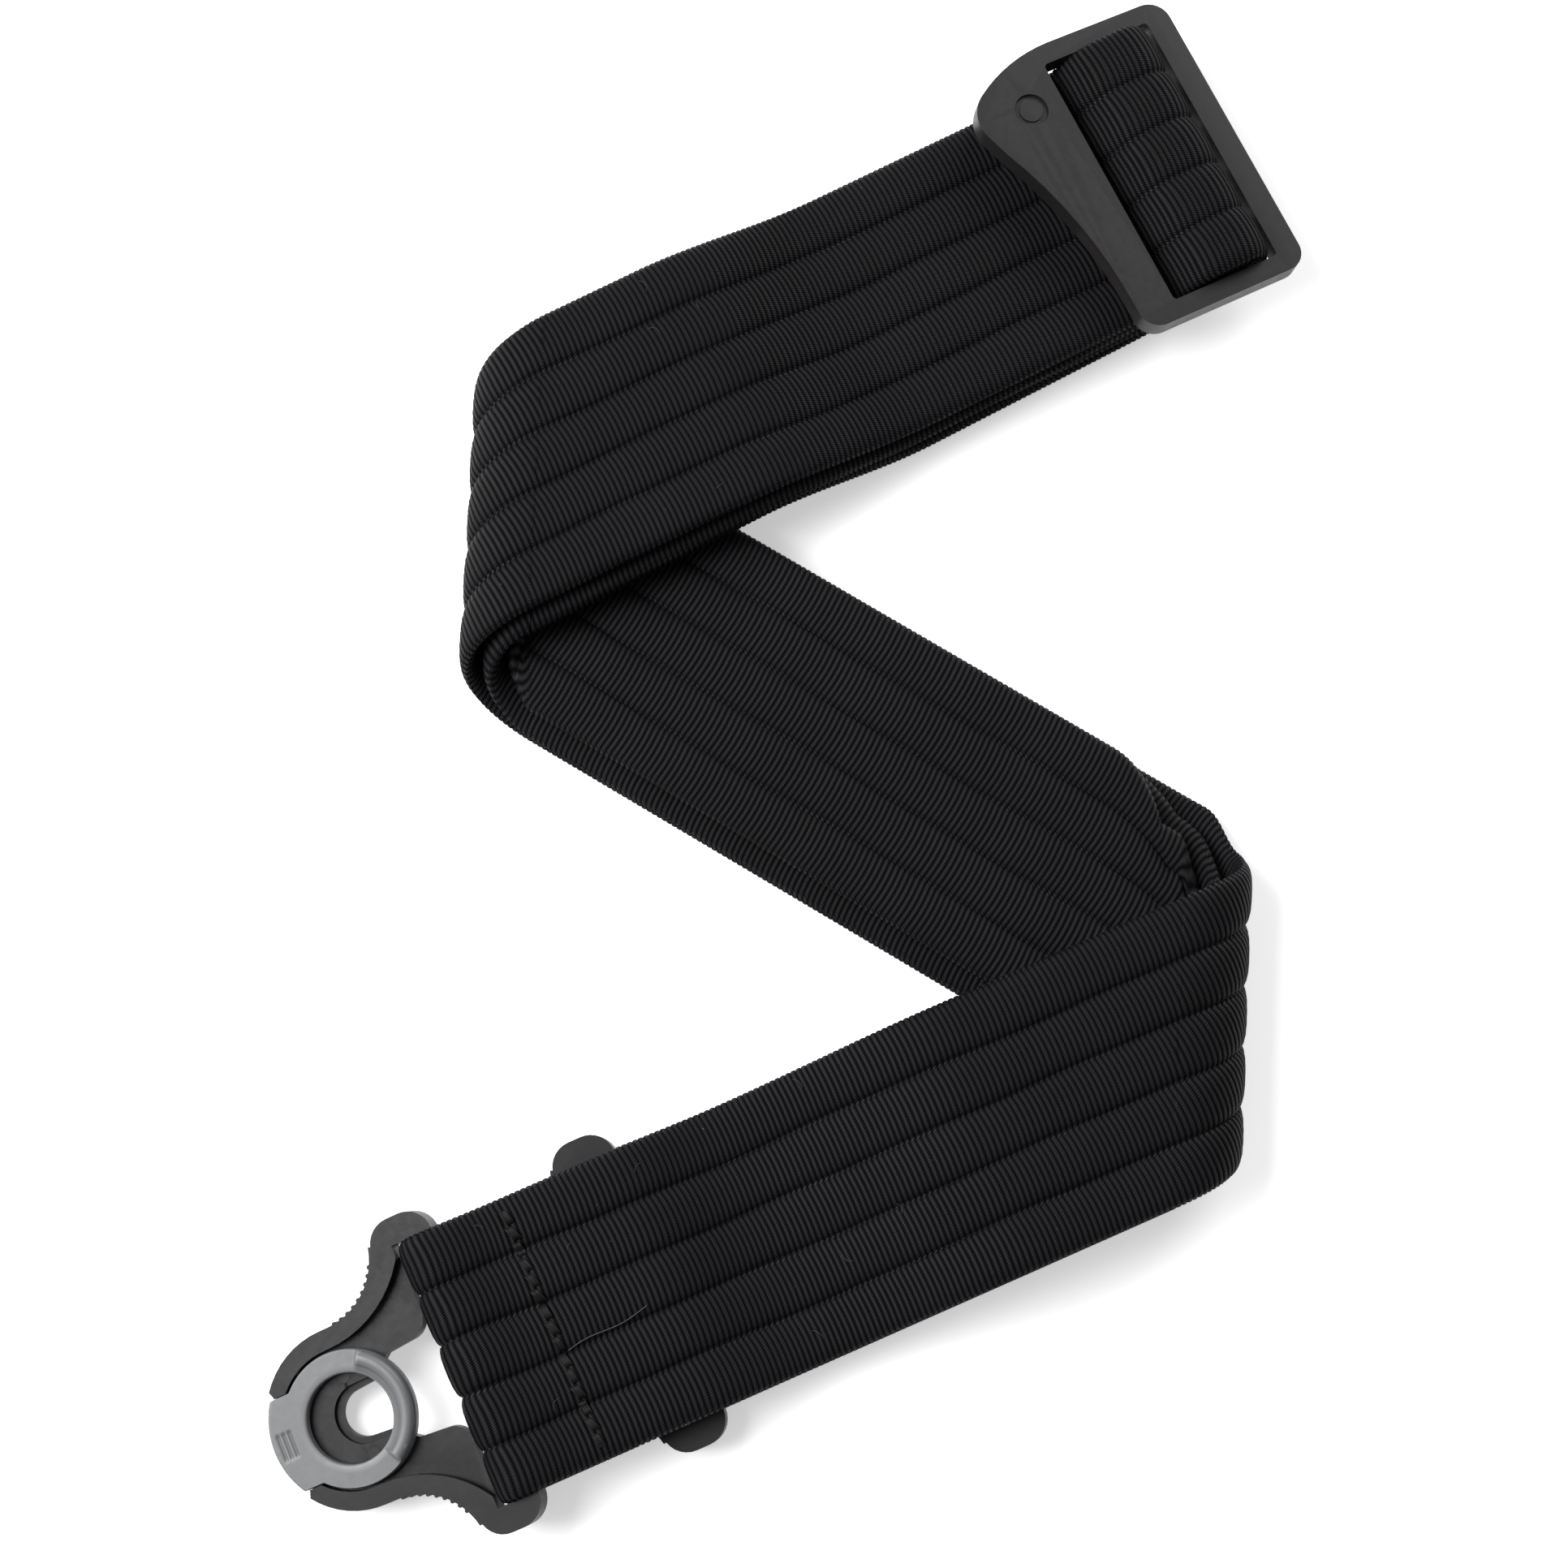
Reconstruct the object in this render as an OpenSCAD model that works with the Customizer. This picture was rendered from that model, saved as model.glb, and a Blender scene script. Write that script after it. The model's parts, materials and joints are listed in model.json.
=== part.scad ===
// Guitar strap: two-inch padded webbing laid in a flat Z, with a locking clip at each end
// and a three-bar adjuster. The middle run lies on the resting plane z = 0, +Z points away
// from it, and the origin is the centre of the middle run's underside.

/* [Webbing] */
// Width of the webbing
strap_w = 50.8; // [48:0.1:51]
// Thickness of the padded webbing
strap_t = 3.3; // [3:0.05:3.3]
// Height of one layer in a folded stack
pitch = 3.6; // [3.6:0.05:3.8]
// Thickness of the webbing where it is pulled tight round the adjuster's centre bar
loop_t = 2.6; // [2.4:0.1:2.6]
// Padded channels across the width
channels = 5; // [3:1:6]

/* [Layout of the runs] */
// Direction of the middle run, from the left fold to the right fold
middle_angle = -31; // [-33:0.5:-29]
// Direction of the upper run, away from the left fold
upper_angle = 26.8; // [25:0.1:28]
// Direction of the lower run, away from the right fold
lower_angle = 203.5; // [202:0.5:205]
// Place of the left fold line on the middle run's centre line
left_fold_x = -62.5; // [-66:0.5:-60]
// Place of the right fold line on the middle run's centre line
right_fold_x = 59; // [56:0.5:62]
// Distance from the left fold line to the adjuster's centre bar
upper_len = 135.6; // [134:0.2:140]
// Distance from the right fold line to clip A's crossbar
lower_len = 141; // [138:0.5:144]
// How far clip B's crossbar lies behind clip A's
clip_gap = 36; // [35:0.5:37]

/* [Locking clips] */
// Radius of the seat that holds the neck of a strap button
seat_r = 4.4; // [4:0.1:4.6]
// Radius of the lock ring's bore, which closes round the button's head
ring_bore_r = 8.35; // [8:0.05:8.6]
// Outer radius of the lock ring
ring_r = 12.7; // [12.4:0.1:12.8]
// Thickness of the clip frame at its rails
frame_t = 4.8; // [4.6:0.1:5]
// Radius of the crossbar that the webbing loops round
bar_r = 1.95; // [1.8:0.05:2]

/* [Adjuster] */
// Thickness of the adjuster plate
adjuster_t = 4.4; // [4:0.1:4.6]
// Length of the window along the strap
window_len = 23.5; // [23:0.1:24]
// Tilt of the adjuster, its wide side up
adjuster_tilt = 8; // [6:0.5:9]

/* [Hidden] */
$fn = 48;
half_w = strap_w / 2;
small = 0.01;
fit_gap = 0.05;

// Heights of the middle of each of the six stacked layers, the first on the resting plane
function layer_z(i) = strap_t / 2 + i * pitch;
fold_z = strap_t / 2 + pitch * 2.5;

// Fold frames: a point on the fold line, the line's direction, and the side that bulges out
// is at +90 degrees to that direction
left_fold_angle = (upper_angle + 180 + middle_angle) / 2;
right_fold_angle = (lower_angle + middle_angle) / 2 + 180;
left_fold = [left_fold_x, left_fold_x * tan(middle_angle)];
right_fold = [right_fold_x, right_fold_x * tan(middle_angle)];
// The webbing climbs along the fold line while it goes round
left_climb = 21.9;
right_climb = 18.6;
upper_start = left_fold + left_climb * [cos(left_fold_angle), sin(left_fold_angle)];
lower_start = right_fold + right_climb * [cos(right_fold_angle), sin(right_fold_angle)];

// Sideways offset of each layer in its run, outer layer first, then centre, then inner
middle_offset = [0, 0, 4];
upper_offset = [0, -3, -2.5];
upper_skew = [for (y = upper_offset) -atan(y / upper_len)];
lower_offset = [0, 0, 0];
// Reach of each nested fold beyond the fold line, to the middle of the webbing
fold_reach = [12.3, 7.6, 3.2];

// Clip frame: its own origin is the centre of the lock ring at rest, +X points to the strap
bar_x = 25;
bar_z = frame_t / 2;
web_t = 2.6;
ring_z = web_t + 0.15;
ring_top = 5;
lip_top = 6.2;
seat_x = 2.2;
tongue_w = 17.7;
tongue_r = 15.8;
ring_travel = 6.5;
spring_y = 10.4;
spring_start = -4.5;
spring_end = 8.6;
shoulder_r = 4.9;
shoulder_y = 25.8;
frame_reach = 41;

loop_inner = bar_r + fit_gap;
loop_outer = loop_inner + strap_t;
loop_mean = loop_inner + strap_t / 2;
clip_b_s = lower_len - clip_gap;
clip_b_z = loop_outer;
clip_b_tilt = asin((clip_b_z - frame_t / 2) / frame_reach);
clip_a_z = clip_b_z + frame_t / 2 - clip_gap * sin(clip_b_tilt) + loop_outer + 0.2;
clip_a_tilt = asin((clip_a_z - frame_t / 2) / frame_reach);

// Adjuster: its own origin is the middle of the centre bar, +X points away from the fold
centre_bar_w = 6.6;
centre_bar_t = 2.4;
centre_bar_drop = 1;
centre_bar_x = 2.4;
adjuster_z = 14.7;
adjuster_y = 1;
turn_start = -30;
turn_bar_z = adjuster_z - centre_bar_drop;
tail_len = 47.7;
tail_stitch_x = -24;
clip_stitch_s = lower_len - 14;
return_end_s = lower_len - 22;

// ---- Curves ----

// Points on an arc, both ends included
function arc(centre, r, from, to, n) =
    [for (i = [0:n]) let (a = from + (to - from) * i / n) centre + r * [cos(a), sin(a)]];

function ease(t) = t * t * (3 - 2 * t);

// A smooth side view through knots of [distance, height]
function smooth_path(knots, n = 8) = concat(
    [knots[0]],
    [for (k = [1:len(knots) - 1])
        let (a = knots[k - 1], b = knots[k], steps = a[1] == b[1] ? 1 : n)
        for (i = [1:steps])
            let (t = i / steps) [a[0] + (b[0] - a[0]) * t, a[1] + (b[1] - a[1]) * ease(t)]]);

function unit(v) = v / norm(v);

// The normal at point i of a path, to the left of travel
function path_normal(p, i) =
    let (d = unit(p[min(i + 1, len(p) - 1)] - p[max(i - 1, 0)])) [-d[1], d[0]];

// The path moved sideways by a distance
function beside(p, d) = [for (i = [0:len(p) - 1]) p[i] + d * path_normal(p, i)];

function backwards(p) = [for (i = [len(p) - 1:-1:0]) p[i]];

// A closed outline of thickness t round a path
function band(p, t) = concat(beside(p, t / 2), backwards(beside(p, -t / 2)));

// ---- Webbing ----

// A side-view outline in [distance, height], made as wide as w and centred on y
module across(points, w, y = 0)
    translate([0, y, 0])
    rotate([90, 0, 0])
    linear_extrude(w, center = true)
    polygon(points);

pad_w = strap_w / channels - 2;
pad_t = strap_t - 1.8;

// The pads that fill the channels of one layer
module pads(path, gap = 0)
    for (i = [0:channels - 1])
        across(band(path, pad_t - 2 * gap), pad_w - 2 * gap, (i + 0.5) * strap_w / channels - half_w);

// One layer of webbing, hollow where the pads lie
module layer(path, pad_path)
    difference() {
        across(band(path, strap_t), strap_w);
        pads(pad_path);
    }

module in_upper_run(i)
    translate([upper_start[0], upper_start[1], 0])
    rotate(upper_angle)
    translate([0, upper_offset[i], 0])
    rotate(upper_skew[i])
    children();

module in_lower_run(i)
    translate([lower_start[0], lower_start[1], 0])
    rotate(lower_angle)
    translate([0, lower_offset[i], 0])
    children();

module in_middle_run(i)
    rotate(middle_angle)
    translate([0, middle_offset[i], 0])
    children();

// The space beyond a fold line, on the side where the folds bulge
module beyond(point, angle)
    translate([point[0], point[1], -50])
    rotate(angle)
    translate([-300, 0, 0])
    cube([600, 300, 200]);

module between_folds()
    difference() {
        children();
        beyond(left_fold, left_fold_angle);
        beyond(right_fold, right_fold_angle);
    }

// Middle run: outer (bottom), centre and inner (top) layers
middle_z = [layer_z(0), layer_z(1), layer_z(2)];
function middle_path(i) = [[-110, middle_z[i]], [110, middle_z[i]]];
function middle_pad_path(i) = [[-52, middle_z[i]], [52, middle_z[i]]];

module middle_layer(i)
    color([0.07, 0.07, 0.09])
    between_folds()
    in_middle_run(i)
    layer(middle_path(i), middle_pad_path(i));

module webbing_middle_bottom() middle_layer(0);
module webbing_middle_centre() middle_layer(1);
module webbing_middle_top() middle_layer(2);

// Upper run: outer (top), centre and inner (bottom) layers. They leave the stack, come down,
// and then make room between the centre and bottom layers for the sewn tail
upper_z = [layer_z(5), layer_z(4), layer_z(3)];
upper_end_z = [layer_z(3), layer_z(2), layer_z(0)];
upper_flat_end = 34;
upper_low_start = 72;
take_up_start = 84;
take_up_end = upper_len + turn_start - 0.8;
pad_start = 20;
function upper_path(i, from, to) =
    smooth_path([[from, upper_z[i]], [upper_flat_end, upper_z[i]],
        [upper_low_start, upper_end_z[i]], [to, upper_end_z[i]]]);

module upper_layer(i)
    color([0.07, 0.07, 0.09])
    difference() {
        in_upper_run(i)
        layer(upper_path(i, -30, take_up_start), upper_path(i, pad_start, take_up_start - 2));
        beyond(left_fold, left_fold_angle);
    }

module webbing_upper_top() upper_layer(0);
module webbing_upper_centre() upper_layer(1);
module webbing_upper_bottom() upper_layer(2);

// The lengths of the three layers that the adjuster draws in as it slides
module webbing_take_up()
    color([0.07, 0.07, 0.09])
    for (i = [0:2])
        in_upper_run(i)
        across(band([[take_up_start, upper_end_z[i]], [take_up_end, upper_end_z[i]]], strap_t), strap_w);

// Lower run, top layer: over clip B, round clip A's crossbar and back beneath itself
lower_flat_end = 38;
lower_low_start = 84;
over_clip_b_z = 2 * loop_outer + strap_t / 2 + 0.35;
loop_rise_s = lower_len - 13;
function lower_top_path(from, to_loop) = smooth_path(concat(
    [[from, layer_z(5)], [lower_flat_end, layer_z(5)], [lower_low_start, layer_z(2)],
     [clip_b_s, over_clip_b_z], [loop_rise_s, over_clip_b_z - 0.3]],
    to_loop));
lower_return_path = smooth_path([[lower_len, clip_a_z - loop_mean], [return_end_s, 9]]);

module webbing_lower_top()
    color([0.07, 0.07, 0.09])
    difference() {
        in_lower_run(0)
        difference() {
            union() {
                across(band(lower_top_path(-30, [[lower_len, clip_a_z + loop_mean]]), strap_t), strap_w);
                across(band(lower_return_path, strap_t), strap_w);
                translate([lower_len, 0, clip_a_z])
                rotate([90, 0, 0])
                cylinder(r = loop_outer, h = strap_w, center = true);
            }
            translate([lower_len, 0, clip_a_z])
            rotate([90, 0, 0])
            cylinder(r = loop_inner, h = strap_w + 1, center = true);
            pads(lower_top_path(pad_start, []));
        }
        beyond(right_fold, right_fold_angle);
    }

// Lower run, centre and bottom layers: one length that turns round clip B's crossbar
function lower_loop_path(side, from, to) = smooth_path(concat(
    [[from, layer_z(side > 0 ? 4 : 3)], [lower_flat_end, layer_z(side > 0 ? 4 : 3)],
     [lower_low_start, layer_z(side > 0 ? 1 : 0)]],
    to));

module webbing_lower_loop()
    color([0.07, 0.07, 0.09])
    difference() {
        in_lower_run(1)
        difference() {
            union() {
                for (side = [1, -1])
                    across(band(lower_loop_path(side, -30, [[clip_b_s, clip_b_z + side * loop_mean]]),
                        strap_t), strap_w);
                translate([clip_b_s, 0, clip_b_z])
                rotate([90, 0, 0])
                cylinder(r = loop_outer, h = strap_w, center = true);
            }
            translate([clip_b_s, 0, clip_b_z])
            rotate([90, 0, 0])
            cylinder(r = loop_inner, h = strap_w + 1, center = true);
            for (side = [1, -1])
                pads(lower_loop_path(side, pad_start, []));
        }
        beyond(right_fold, right_fold_angle);
    }

// Pads, a little smaller than the channels that hold them
module padding_middle()
    color([0.3, 0.3, 0.32])
    for (i = [0:2])
        in_middle_run(i) pads(middle_pad_path(i), fit_gap);

module padding_upper()
    color([0.3, 0.3, 0.32])
    for (i = [0:2])
        in_upper_run(i)
        pads(upper_path(i, pad_start + fit_gap, take_up_start - 2 - fit_gap), fit_gap);

module padding_lower()
    color([0.3, 0.3, 0.32]) {
        in_lower_run(0) pads(lower_top_path(pad_start + fit_gap, []), fit_gap);
        for (side = [1, -1])
            in_lower_run(1) pads(lower_loop_path(side, pad_start + fit_gap, []), fit_gap);
    }

// ---- Folds ----

// Where a layer's centre line meets a fold line, counted along the line
function crossing(start, offset, run_angle, fold_angle) =
    start - offset / sin(run_angle - fold_angle);

// A strip that goes half a turn round the fold line while it climbs along it
fold_steps = 12;
module fold_strip(reach, rise, low, high, half_len) {
    a = [for (i = [0:fold_steps]) -90 + 180 * i / fold_steps];
    // one cross-section: inner and outer edge at each end of the strip
    points = [for (i = [0:fold_steps])
        let (s = low + (high - low) * i / fold_steps,
             normal = unit([rise * cos(a[i]), reach * sin(a[i])]),
             mid = [reach * cos(a[i]), rise * sin(a[i])],
             inner = mid - strap_t / 2 * normal,
             outer = mid + strap_t / 2 * normal)
        each [[s - half_len, inner[0], inner[1]], [s + half_len, inner[0], inner[1]],
              [s + half_len, outer[0], outer[1]], [s - half_len, outer[0], outer[1]]]];
    sides = [for (i = [0:fold_steps - 1], k = [0:3])
        let (p = 4 * i + k, q = 4 * i + (k + 1) % 4)
        each [[p, q, p + 4], [q, q + 4, p + 4]]];
    last = 4 * fold_steps;
    polyhedron(points, concat(sides, [[3, 2, 1, 0], [last, last + 1, last + 2, last + 3]]));
}

module fold(point, fold_angle, i, run_angle, climb, run_offset)
    color([0.07, 0.07, 0.09])
    translate([point[0], point[1], fold_z])
    rotate(fold_angle)
    fold_strip(fold_reach[i], pitch * (2.5 - i),
        crossing(0, middle_offset[i], middle_angle, fold_angle),
        crossing(climb, run_offset[i], run_angle, fold_angle),
        half_w / abs(sin(run_angle - fold_angle)));

module left_fold_layer(i) fold(left_fold, left_fold_angle, i, upper_angle, left_climb, upper_offset);
module right_fold_layer(i) fold(right_fold, right_fold_angle, i, lower_angle, right_climb, lower_offset);
module left_fold_outer() left_fold_layer(0);
module left_fold_centre() left_fold_layer(1);
module left_fold_inner() left_fold_layer(2);
module right_fold_outer() right_fold_layer(0);
module right_fold_centre() right_fold_layer(1);
module right_fold_inner() right_fold_layer(2);

// ---- Adjuster ----

module in_adjuster()
    translate([upper_start[0], upper_start[1], 0])
    rotate(upper_angle)
    translate([upper_len, adjuster_y, adjuster_z])
    rotate([0, adjuster_tilt, 0])
    children();

lobe = [-22.6, 20.3];
lobe_r = 7;
boss = [-18.6, 19.6];
adjuster_outline = concat(
    arc([12.3, 26.4], 4.5, 0, 88, 8),
    arc([-9, -0.7], 32, 90, 122, 8),
    arc(lobe, lobe_r, 123, 204, 8),
    backwards(arc([-111.5, -24.4], 92, 0, 24, 8)),
    arc([-15.3, -26.8], 4.2, 182, 270, 8),
    arc([12.8, -27], 4, 270, 360, 8));

module rounded_window(x, y, r)
    union() {
        square([2 * x, 2 * (y - r)], center = true);
        square([2 * (x - r), 2 * y], center = true);
        for (i = [-1, 1], j = [-1, 1])
            translate([i * (x - r), j * (y - r)]) circle(r);
    }

// Flat plate with a round boss sunk into its wide side
module adjuster_plate()
    in_adjuster() {
        difference() {
            translate([0, 0, -adjuster_t / 2])
            linear_extrude(adjuster_t)
            difference() {
                polygon(adjuster_outline);
                rounded_window(window_len / 2, half_w + 1.8, 0.8);
            }
            translate([boss[0], boss[1], adjuster_t / 2 - 0.5]) cylinder(r = 3.4, h = 2);
        }
        translate([boss[0], boss[1], adjuster_t / 2 - 1]) cylinder(r = 2.3, h = 0.75);
    }

// The bar between the ends of the window
module adjuster_centre_bar()
    in_turn(adjuster_y)
    translate([centre_bar_x, 0, turn_bar_z])
    rotate([90, 0, 0])
    linear_extrude(strap_w + 5.6, center = true)
    centre_bar_section();

// Flat bar with round edges
module centre_bar_section()
    union() {
        square([centre_bar_w - centre_bar_t, centre_bar_t], center = true);
        for (side = [-1, 1])
            translate([side * (centre_bar_w - centre_bar_t) / 2, 0])
            circle(centre_bar_t / 2);
    }

module adjuster_slider()
    color([0.12, 0.12, 0.12])
    union() {
        adjuster_plate();
        adjuster_centre_bar();
    }

// Half a turn round the centre bar at a distance from its surface, from top to bottom. It
// starts and ends a little before the bar, so that its slopes clear the bar's round edge
turn_lead = 1.2;
function bar_turn(distance) =
    let (r = centre_bar_t / 2 + distance,
         e = (centre_bar_w - centre_bar_t) / 2,
         near = centre_bar_x - e - turn_lead,
         far = centre_bar_x + e)
    concat([[near, turn_bar_z + r]], arc([far, turn_bar_z], r, 90, -90, 12), [[near, turn_bar_z - r]]);

function without_ends(p) = [for (i = [1:len(p) - 2]) p[i]];

// The inner of two lengths that rise through the window and go round the centre bar
turn_rise_x = -11.6;
turn_knee_x = -18.6;
turn_steps = 4;
inner_round = bar_turn(loop_t / 2 + fit_gap);
inner_path = concat(
    smooth_path([[turn_rise_x, layer_z(2)], inner_round[0]], turn_steps),
    without_ends(inner_round),
    smooth_path([inner_round[len(inner_round) - 1], [turn_rise_x, layer_z(1)]], turn_steps));

// The outer length lies against the inner one all the way round, and spreads a little
turn_gap = loop_t + 0.35;
turn_spread = 1.6;
outer_path = beside(inner_path, turn_gap);

module in_turn(y)
    translate([upper_start[0], upper_start[1], 0])
    rotate(upper_angle)
    translate([upper_len, y, 0])
    children();

// The top layer goes up through the window, over the centre bar, and back as the bottom layer
module adjuster_turn()
    color([0.07, 0.07, 0.09])
    in_turn(upper_offset[0] + turn_spread / 2)
    across(band(concat(
        smooth_path([[turn_start, layer_z(3)], [turn_knee_x, layer_z(3)], outer_path[0]], turn_steps),
        without_ends(outer_path),
        smooth_path([outer_path[len(outer_path) - 1], [turn_knee_x, layer_z(0)],
            [turn_start, layer_z(0)]], turn_steps)),
        loop_t), strap_w + turn_spread);

// The centre layer's end goes round the centre bar inside the turn and is sewn to itself
module adjuster_tail()
    color([0.07, 0.07, 0.09])
    in_turn(0)
    across(band(concat([[turn_start, layer_z(2)]], inner_path, [[-tail_len, layer_z(1)]]), loop_t),
        strap_w - 0.4);

// ---- Stitching ----

// One stitch: a bar on each face and the two legs that join them through the webbing
module stitch(len, top, bottom, slant) {
    thread_r = 0.32;
    rotate(slant)
    union() {
        for (z = [top, bottom])
            translate([0, 0, z])
            rotate([90, 0, 0])
            cylinder(r = thread_r, h = len, center = true, $fn = 16);
        for (side = [-1, 1])
            translate([0, side * (len / 2 - thread_r), bottom])
            cylinder(r = thread_r * 0.9, h = top - bottom, $fn = 16);
    }
}

module stitch_row(count, top, bottom, slant)
    for (i = [0:count - 1])
        translate([0, (i + 0.5 - count / 2) * (strap_w - 4) / count, 0])
        stitch(2.3, top, bottom, slant);

module clip_a_stitching()
    color([0.05, 0.05, 0.06])
    in_lower_run(0)
    translate([clip_stitch_s, 0, 0])
    stitch_row(15, over_clip_b_z - 0.3 + strap_t / 2 + 0.1, 6.75, -14);

module tail_stitching()
    color([0.05, 0.05, 0.06])
    in_turn(0)
    translate([tail_stitch_x, 0, 0])
    stitch_row(15, layer_z(2) + loop_t / 2 + 0.1, layer_z(1) - loop_t / 2 - 0.1, 0);

// ---- Locking clips ----

// Clip A hangs on the end of the top layer, its ring end resting on the plane
module as_clip_a()
    in_lower_run(0)
    translate([lower_len, 0, clip_a_z])
    rotate([0, -clip_a_tilt, 180])
    translate([-bar_x, 0, -bar_z])
    children();

// Clip B lies face down beneath the top layer
module as_clip_b()
    in_lower_run(1)
    translate([clip_b_s, 0, clip_b_z])
    rotate([0, -clip_b_tilt, 180])
    rotate([180, 0, 0])
    translate([-bar_x, 0, -bar_z])
    children();

// Half of the frame's outline, from the tip of a rail to the shoulder
half_frame_outline = concat(
    [[-15.2, 0]],
    arc([0, 0], 15.2, 179, 143, 6),
    arc([0.5, 0.5], 16.4, 143, 90, 8),
    arc([2.5, 30], 13.1, -90, -12, 12),
    arc([20.5, shoulder_y], shoulder_r, 165, 90, 6),
    arc([23, shoulder_y], shoulder_r, 90, 0, 8),
    [[27.9, 0]]);

// Half of the recess between the rails, where the lock ring slides
half_recess_outline = concat(
    [[-20, 0], [-20, tongue_w / 2 + 0.1], [-9.7, tongue_w / 2 + 0.1]],
    arc([0, 0], 13.2, 137, 88, 8),
    arc([1, 35.2], 22, -90, -28, 10),
    [[20.4, 0]]);

// Half of the window that opens the seat towards the strap
web_end = 19.6;
half_window_outline = concat(
    [[seat_x, 0], [seat_x, seat_r], [6, seat_r + 0.3], [10.5, 8.2]],
    arc([15.6, 12.6], 4, -92, 0, 6),
    [[web_end, half_w + 0.3], [35, half_w + 0.3], [35, 0]]);

module both_halves(points)
    union() {
        polygon(points);
        mirror([0, 1]) polygon(points);
    }

module window_shape()
    union() {
        both_halves(half_window_outline);
        translate([seat_x, 0]) circle(seat_r);
    }

// Step sunk into the web round the seat
seat_step = 1.3;
seat_step_depth = 0.9;
module seat_ledge()
    translate([0, 0, web_t - seat_step_depth])
    linear_extrude(web_t) {
        translate([seat_x, 0]) circle(seat_r + seat_step);
        translate([seat_x, -seat_r - seat_step]) square([5, 2 * (seat_r + seat_step)]);
    }

// Rails, shoulders and web in one moulding, with the crossbar between the shoulders
module clip_frame()
    color([0.1, 0.1, 0.1])
    difference() {
        union() {
            linear_extrude(web_t)
            difference() {
                both_halves(half_frame_outline);
                window_shape();
            }
            linear_extrude(frame_t)
            difference() {
                both_halves(half_frame_outline);
                both_halves(half_recess_outline);
                both_halves(half_window_outline);
            }
            translate([bar_x, 0, bar_z])
            rotate([90, 0, 0])
            cylinder(r = bar_r, h = strap_w + 4, center = true);
            for (side = [-1, 1], a = [-84:7:-28])
                translate([2.5 + 13.15 * cos(a), side * (30 + 13.15 * sin(a)), 0])
                cylinder(r = 0.45, h = frame_t, $fn = 16);
            for (side = [-1, 1])
                translate([1.2, side * 7.6, web_t - small])
                cylinder(r = 1.2, h = 0.1);
        }
        seat_ledge();
        for (side = [-1, 1]) {
            translate([spring_start - 2.2, side * spring_y - 1.05, -1])
            cube([spring_end - spring_start + 2.3, 2.1, 3]);
            translate([spring_start - 2.2, side * spring_y - 0.8, 1])
            cube([ring_travel + 2.4, 1.6, 3]);
        }
    }

module ring_sector(inner, outer, half_angle)
    difference() {
        circle(outer, $fn = 96);
        circle(inner, $fn = 96);
        polygon([[0, 0], 40 * [cos(half_angle), sin(half_angle)], [-40, 40],
            [-40, -40], 40 * [cos(half_angle), -sin(half_angle)]]);
    }

// Ring with a tongue between the rail tips, a raised lip, and a pin into each spring channel
module lock_ring()
    color([0.42, 0.42, 0.44])
    difference() {
        union() {
            translate([0, 0, ring_z])
            linear_extrude(ring_top - ring_z)
            union() {
                circle(ring_r, $fn = 96);
                intersection() {
                    circle(tongue_r, $fn = 96);
                    translate([-20, -tongue_w / 2]) square([20, tongue_w]);
                }
            }
            translate([0, 0, ring_top - small])
            linear_extrude(lip_top - ring_top)
            ring_sector(10.4, ring_r, 61);
            for (side = [-1, 1])
                translate([spring_start - 1.6, side * spring_y - 0.7, 0.4])
                cube([1.5, 1.4, 3]);
        }
        cylinder(r = ring_bore_r, h = 3 * ring_top, center = true, $fn = 96);
        for (x = [-14.2, -13.2, -12.2])
            translate([x, -2.5, ring_top - 0.25])
            cube([0.5, 5, 1]);
    }

// Coil springs in the channels of the web, between the ring's pin and the channel's end
coils = 7;
coil_r = 0.72;
wire_r = 0.16;
coil_steps = 14;
wire_sides = 5;
module spring(len) {
    total = coils * coil_steps;
    points = [for (i = [0:total], k = [0:wire_sides - 1])
        let (a = 360 * i / coil_steps, b = 360 * k / wire_sides,
             r = coil_r + wire_r * cos(b))
        [wire_r + (len - 2 * wire_r) * i / total + wire_r * sin(b), r * cos(a), r * sin(a)]];
    sides = [for (i = [0:total - 1], k = [0:wire_sides - 1])
        let (p = wire_sides * i + k, q = wire_sides * i + (k + 1) % wire_sides)
        each [[p, p + wire_sides, q], [q, p + wire_sides, q + wire_sides]]];
    first_cap = [for (k = [0:wire_sides - 1]) k];
    last_cap = [for (k = [wire_sides - 1:-1:0]) wire_sides * total + k];
    polyhedron(points, concat(sides, [first_cap, last_cap]));
}

module clip_springs()
    color([0.7, 0.7, 0.7])
    for (side = [-1, 1])
        translate([spring_start, side * spring_y, 1])
        spring(spring_end - spring_start);

module clip_a_frame() as_clip_a() clip_frame();
module clip_a_lock_ring() as_clip_a() lock_ring();
module clip_a_springs() as_clip_a() clip_springs();
module clip_b_frame() as_clip_b() clip_frame();
module clip_b_lock_ring() as_clip_b() lock_ring();
module clip_b_springs() as_clip_b() clip_springs();

webbing_middle_top();
webbing_middle_centre();
webbing_middle_bottom();
webbing_upper_top();
webbing_upper_centre();
webbing_upper_bottom();
webbing_take_up();
webbing_lower_top();
webbing_lower_loop();
left_fold_outer();
left_fold_centre();
left_fold_inner();
right_fold_outer();
right_fold_centre();
right_fold_inner();
padding_middle();
padding_upper();
padding_lower();
adjuster_slider();
adjuster_turn();
adjuster_tail();
tail_stitching();
clip_a_frame();
clip_a_lock_ring();
clip_a_springs();
clip_a_stitching();
clip_b_frame();
clip_b_lock_ring();
clip_b_springs();
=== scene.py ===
import json
import math
import random
from functools import partial

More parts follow.
